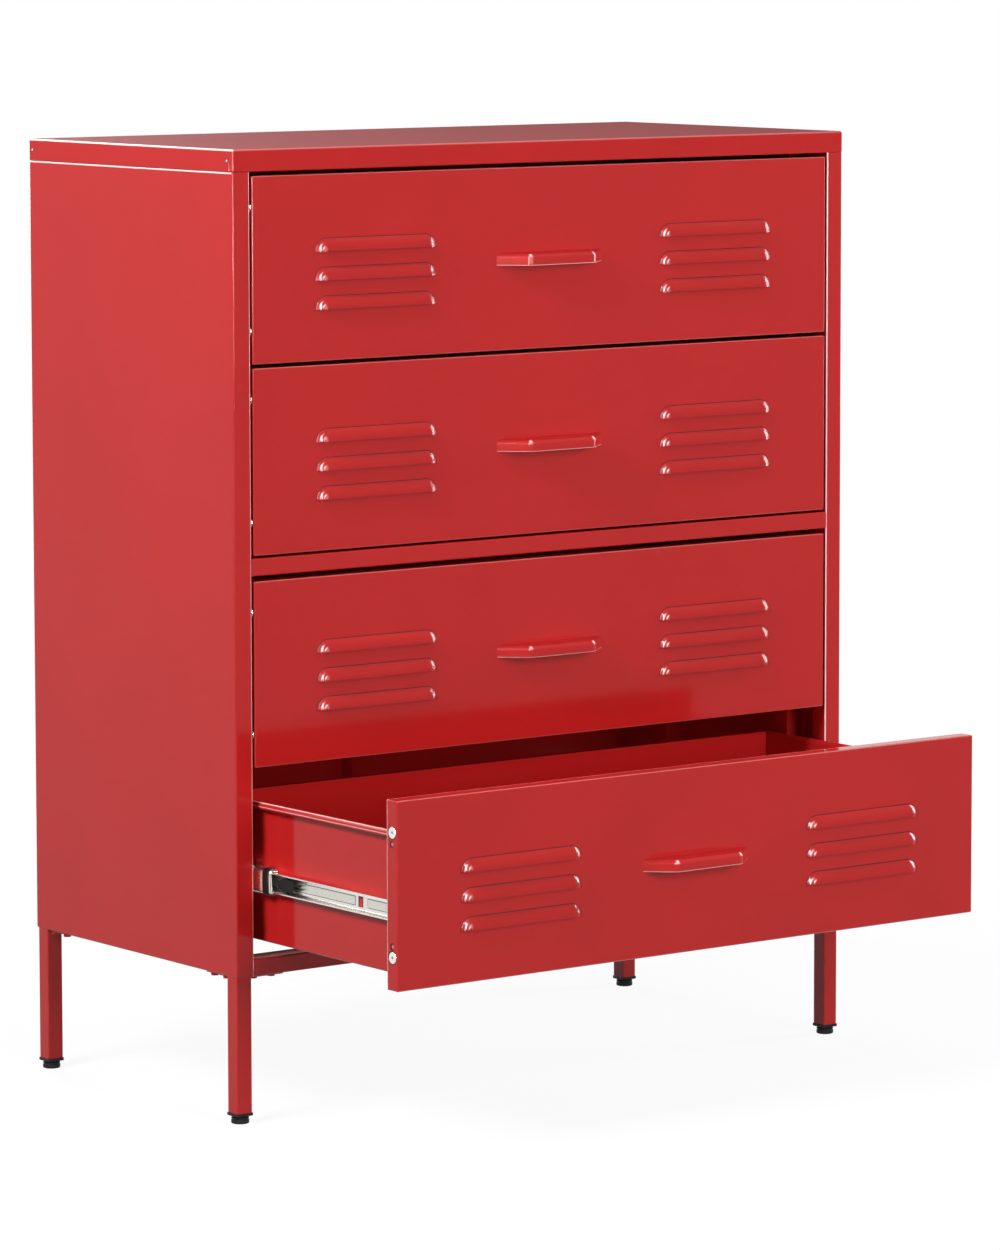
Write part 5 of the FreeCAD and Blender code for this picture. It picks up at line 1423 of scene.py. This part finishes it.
class CABINET_OT_feet(bpy.types.Operator):
    """Levelling feet: knurled discs on threaded stems"""
    bl_idname = "cabinet.feet"
    bl_label = "Levelling Feet"

    def execute(self, context):
        feet = context.scene.cabinet_feet
        radius, tall, stem = feet.radius, feet.height, feet.stem
        profile = np.array([(0, 0), (radius - 0.0012, 0), (radius - 0.0004, 0.0003),
                            (radius, 0.0012), (radius, tall * 0.55), (radius - 0.0006, tall * 0.62),
                            (radius - 0.0006, tall * 0.70), (radius - 0.0001, tall * 0.76),
                            (radius - 0.0002, tall * 0.86), (radius - 0.0014, tall),
                            (stem + 0.001, tall), (stem, tall + 0.0004), (stem, tall + 0.004)])
        for name, middle, _ in leg_middles():
            surface = Surface()
            turned(surface, profile, (*middle[:2], 0.0), (0, 0, 1), FOOT_COLUMNS)
            self.knurl(surface, middle, radius)
            add_piece(f"foot_{name}_disc", surface, black(context),
                      f"foot_{name}", [f"levelling_foot_{name}"])
        return {"FINISHED"}

    @staticmethod
    def knurl(surface, middle, radius):
        """Evenly spaced columns of the disc's wall are set in."""
        points = surface.points[-1]
        reach = np.linalg.norm(points[:, :2] - middle[:2], axis=1)
        level = points[:, 2]
        wall = (reach > radius - KNURL_PLAY) & (level < KNURL_HIGH) & (level > KNURL_LOW)
        column = np.arange(len(points)) % (FOOT_COLUMNS + 1) % FOOT_COLUMNS
        inset = (wall & (column % KNURL_EVERY == 0))[:, None] * KNURL_DEPTH
        ways = (points[:, :2] - middle[:2]) / np.maximum(reach, MICRON)[:, None]
        points[:, :2] -= ways * inset


PLUG_EDGE, PLUG_BORE_PLAY, PLUG_BORE_DEPTH, PLUG_TOP_WIDTH = 0.0005, 0.0002, 0.002, 0.0023
PLUG_POINTS = 48


class CABINET_OT_leg_plugs(bpy.types.Operator):
    """Leg plugs: square flanges under the tubes with rounded corners and edges"""
    bl_idname = "cabinet.leg_plugs"
    bl_label = "Leg Plugs"

    def execute(self, context):
        feet = context.scene.cabinet_feet
        half, corner, edge = feet.plug / 2, feet.plug_corner, PLUG_EDGE
        bore = self.circle(feet.stem + PLUG_BORE_PLAY)
        surface = Surface()
        for _, middle, leg_end in leg_middles():
            low = leg_end - feet.plug_flange
            rings = [(bore, low + PLUG_BORE_DEPTH), (bore, low),
                     (self.square(half - edge, corner), low),
                     (self.square(half, corner), low + edge),
                     (self.square(half, corner), leg_end - edge / 2),
                     (self.square(half - edge / 2, corner), leg_end),
                     (self.square(half - PLUG_TOP_WIDTH, corner), leg_end)]
            points = np.array([np.insert(ring + middle[:2], 2, level, axis=1)
                               for ring, level in rings])
            surface.grid(points, wrap=True)
        add_piece("leg_plug_flanges", surface, black(context), "cabinet",
                  ["leg_plugs"])
        return {"FINISHED"}

    @staticmethod
    def circle(radius):
        angle = np.linspace(0, 2 * math.pi, PLUG_POINTS, endpoint=False) + math.pi / PLUG_POINTS
        return radius * np.stack([np.cos(angle), np.sin(angle)], -1)

    @staticmethod
    def square(half, corner):
        """Square with rounded corners: a quarter circle of points at each."""
        turn = np.linspace(0, math.pi / 2, PLUG_POINTS // 4)
        flat = half - corner
        quarter = np.stack([flat + corner * np.cos(turn), flat + corner * np.sin(turn)], -1)
        quarters = []
        for _ in range(4):
            quarters.append(quarter)
            quarter = np.stack([-quarter[:, 1], quarter[:, 0]], -1)
        return np.concatenate(quarters)


# Finishes on the CAD nodes

SHEET_NODES = ("back_panel_left", "back_panel_right", "slide_brackets", "cabinet_screws",
               "top_panel", "side_panel_left", "side_panel_right", "middle_rail",
               "bottom_front_rail", "bottom_rear_rail", *(f"leg_{place}" for place in CORNERS))
DRAWER_SHEETS = ("front", "handle", "side_left", "side_right", "back", "bottom")


def coat_node(name, material):
    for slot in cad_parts[name].material_slots:
        slot.material = material


class CABINET_OT_finishes(bpy.types.Operator):
    """Powder coat on the sheets, zinc on the slides and screws, black plastic on feet and levers"""
    bl_idname = "cabinet.finishes"
    bl_label = "Finishes"

    def execute(self, context):
        red = red_coat(context)
        for name in SHEET_NODES:
            coat_node(name, red)
        coat_node("cabinet_runners", zinc(context))
        coat_node("leg_plugs", black(context))
        for corner in CORNERS:
            coat_node(f"levelling_foot_{corner}", black(context))
        for number in DRAWERS:
            for sheet in DRAWER_SHEETS:
                coat_node(f"drawer_{number}_{sheet}", red)
            coat_node(f"drawer_{number}_runners", zinc(context))
            coat_node(f"drawer_{number}_mid_runners", zinc(context))
            coat_node(f"drawer_{number}_release_levers", black(context))
            coat_node(f"drawer_{number}_screws", steel(context))
        return {"FINISHED"}


# Stage

LAMP_TARGET = Vector((0.0, 0.0, 0.5))
# Name, setting, place, size in metres, and whether it shows in gloss alone
LAMPS = (("upper_left_light", "upper_left_light", (-2.6, -0.3, 2.4), (1.0, 1.0), False),
         ("upper_front_light", "upper_front_light", (-0.2, -2.0, 2.9), (0.34, 0.34), False),
         ("front_light", "front_light", (0.2, -3.4, 1.35), (1.6, 1.6), False),
         ("near_strip_light", "strip_lights", (-2.85, -2.2, 1.7), (0.4, 2.4), True),
         ("far_strip_light", "strip_lights", (-1.55, -3.2, 1.7), (0.4, 2.4), True),
         ("rear_strip_light", "rear_strip_light", (-0.4, 2.9, 2.5), (2.2, 0.6), True),
         ("right_light", "right_light", (2.9, -0.5, 1.2), (0.6, 1.6), False),
         ("rear_light", "rear_light", (0.6, 3.2, 1.4), (1.4, 1.4), False))
FLOOR_HALF = 12.0
FLOOR_GREY = (0.32, 0.32, 0.32)
FLOOR_WHITE = 0.92
FLOOR_FAR, FLOOR_BLEND = 1.3, 0.7


def seen_directly(tree):
    """1 for the rays that look at the background: from the camera, by gloss or through glass."""
    path = tree.nodes.new("ShaderNodeLightPath")
    total = path.outputs["Is Camera Ray"]
    for name in ("Is Glossy Ray", "Is Transmission Ray"):
        either = tree.nodes.new("ShaderNodeMath")
        either.operation = "MAXIMUM"
        tree.links.new(total, either.inputs[0])
        tree.links.new(path.outputs[name], either.inputs[1])
        total = either.outputs[0]
    return total


class CABINET_OT_stage(bpy.types.Operator):
    """Camera at the photograph's angle, soft studio lights and a plain pale floor"""
    bl_idname = "cabinet.stage"
    bl_label = "Stage"

    def execute(self, context):
        stage = context.scene.cabinet_stage
        self.make_camera(context, stage)
        self.make_lights(stage)
        self.make_surround(context, stage)
        self.make_floor(context)
        context.scene.view_settings.view_transform = "Standard"
        return {"FINISHED"}

    def make_camera(self, context, stage):
        yaw, pitch, roll = stage.camera_yaw, stage.camera_pitch, stage.camera_roll
        forward = Vector((math.sin(yaw) * math.cos(pitch), math.cos(yaw) * math.cos(pitch),
                          -math.sin(pitch)))
        level = Vector((math.cos(yaw), -math.sin(yaw), 0.0))
        upright = level.cross(forward)
        right = level * math.cos(roll) + upright * math.sin(roll)
        up = upright * math.cos(roll) - level * math.sin(roll)
        turn = Matrix((right, up, -forward)).transposed()
        data = bpy.data.cameras.new("camera")
        data.lens = stage.camera_lens
        data.sensor_width = 36.0
        data.shift_y = stage.camera_shift
        data.clip_end = 100.0
        camera = bpy.data.objects.new("camera", data)
        camera.matrix_world = Matrix.Translation(stage.camera_place) @ turn.to_4x4()
        context.scene.collection.objects.link(camera)
        context.scene.camera = camera

    def make_lights(self, stage):
        """Rectangular area lights, turned to face the cabinet."""
        for name, setting, place, size, gloss_only in LAMPS:
            data = bpy.data.lights.new(name, "AREA")
            data.shape = "RECTANGLE"
            data.size, data.size_y = size
            data.energy = getattr(stage, setting)
            lamp = bpy.data.objects.new(name, data)
            lamp.location = place
            way = LAMP_TARGET - Vector(place)
            lamp.rotation_euler = way.to_track_quat("-Z", "Y").to_euler()
            lamp.visible_diffuse = not gloss_only
            bpy.context.scene.collection.objects.link(lamp)

    def make_surround(self, context, stage):
        world = bpy.data.worlds.new("surround")
        world.use_nodes = True
        context.scene.world = world
        tree = world.node_tree
        tree.nodes.clear()
        output = tree.nodes.new("ShaderNodeOutputWorld")
        mix = tree.nodes.new("ShaderNodeMixShader")
        tree.links.new(seen_directly(tree), mix.inputs[0])
        for index, strength in ((1, stage.surround), (2, 1.0)):
            background = tree.nodes.new("ShaderNodeBackground")
            background.inputs["Color"].default_value = (1.0, 1.0, 1.0, 1.0)
            background.inputs["Strength"].default_value = strength
            tree.links.new(background.outputs[0], mix.inputs[index])
        tree.links.new(mix.outputs[0], output.inputs["Surface"])

    def make_floor(self, context):
        """Flat square on the ground: grey to the light and white to the camera.

        The white keeps a part of the shading near the cabinet and none farther off.
        """
        half = FLOOR_HALF
        mesh = bpy.data.meshes.new("floor")
        corners = [(-half, -half, 0), (half, -half, 0), (half, half, 0), (-half, half, 0)]
        mesh.from_pydata(corners, [], [(0, 1, 2, 3)])
        floor = bpy.data.objects.new("floor", mesh)
        context.scene.collection.objects.link(floor)
        finish = Finish("pale_floor")
        tree = finish.tree
        seen = Value(finish, seen_directly(tree))
        distance = finish.node("ShaderNodeVectorMath", {"operation": "LENGTH"},
                               {0: finish.place()}, "Value")
        far = distance.beyond(FLOOR_FAR, FLOOR_BLEND)
        white_share = seen * (FLOOR_WHITE + far * (1 - FLOOR_WHITE))
        finish.set("Base Color", finish.mix(seen, FLOOR_GREY, (1.0, 1.0, 1.0)))
        finish.set("Roughness", 0.9)
        finish.set("Specular IOR Level", 0.0)
        white = tree.nodes.new("ShaderNodeEmission")
        mix = tree.nodes.new("ShaderNodeMixShader")
        finish.feed(mix.inputs[0], white_share)
        tree.links.new(finish.shader.outputs[0], mix.inputs[1])
        tree.links.new(white.outputs[0], mix.inputs[2])
        tree.links.new(mix.outputs[0], tree.nodes["Material Output"].inputs["Surface"])
        mesh.materials.append(finish.material)


class CABINET_PT_panel(bpy.types.Panel):
    """Lists the cabinet's pieces in the sidebar"""
    bl_idname = "CABINET_PT_panel"
    bl_label = "Metal Drawer Cabinet"
    bl_space_type = "VIEW_3D"
    bl_region_type = "UI"
    bl_category = "Cabinet"

    def draw(self, context):
        for operator in OPERATORS:
            self.layout.operator(operator.bl_idname)
        for key in GROUPS:
            group = getattr(context.scene, key)
            for name in group.__annotations__:
                self.layout.prop(group, name)


OPERATORS = (CABINET_OT_stage, CABINET_OT_finishes, CABINET_OT_top_panel, CABINET_OT_side_panels,
             CABINET_OT_back_panels, CABINET_OT_rails, CABINET_OT_drawer_fronts,
             CABINET_OT_pulls, CABINET_OT_drawer_sides, CABINET_OT_drawer_backs,
             CABINET_OT_drawer_members, CABINET_OT_middle_members, CABINET_OT_cabinet_members,
             CABINET_OT_release_levers, CABINET_OT_drawer_hooks, CABINET_OT_drawer_screws,
             CABINET_OT_feet, CABINET_OT_leg_plugs)
GROUPS = {"cabinet_finishes": CabinetFinishes, "cabinet_sheets": CabinetSheets,
          "cabinet_louvres": CabinetLouvres, "cabinet_pull": CabinetPull,
          "cabinet_slides": CabinetSlides, "cabinet_screws": CabinetScrews,
          "cabinet_feet": CabinetFeet, "cabinet_stage": CabinetStage}


def register():
    for cls in (*GROUPS.values(), *OPERATORS, CABINET_PT_panel):
        bpy.utils.register_class(cls)
    for key, group in GROUPS.items():
        setattr(bpy.types.Scene, key, bpy.props.PointerProperty(type=group))


def unregister():
    for key in GROUPS:
        delattr(bpy.types.Scene, key)
    for cls in (CABINET_PT_panel, *reversed(OPERATORS), *GROUPS.values()):
        bpy.utils.unregister_class(cls)


def main():
    register()
    bpy.ops.cabinet.stage()
    bpy.ops.cabinet.finishes()
    bpy.ops.cabinet.top_panel()
    bpy.ops.cabinet.side_panels()
    bpy.ops.cabinet.back_panels()
    bpy.ops.cabinet.rails()
    bpy.ops.cabinet.drawer_fronts()
    bpy.ops.cabinet.pulls()
    bpy.ops.cabinet.drawer_sides()
    bpy.ops.cabinet.drawer_backs()
    bpy.ops.cabinet.drawer_members()
    bpy.ops.cabinet.middle_members()
    bpy.ops.cabinet.cabinet_members()
    bpy.ops.cabinet.release_levers()
    bpy.ops.cabinet.drawer_hooks()
    bpy.ops.cabinet.drawer_screws()
    bpy.ops.cabinet.feet()
    bpy.ops.cabinet.leg_plugs()


if __name__ == "__main__":
    main()
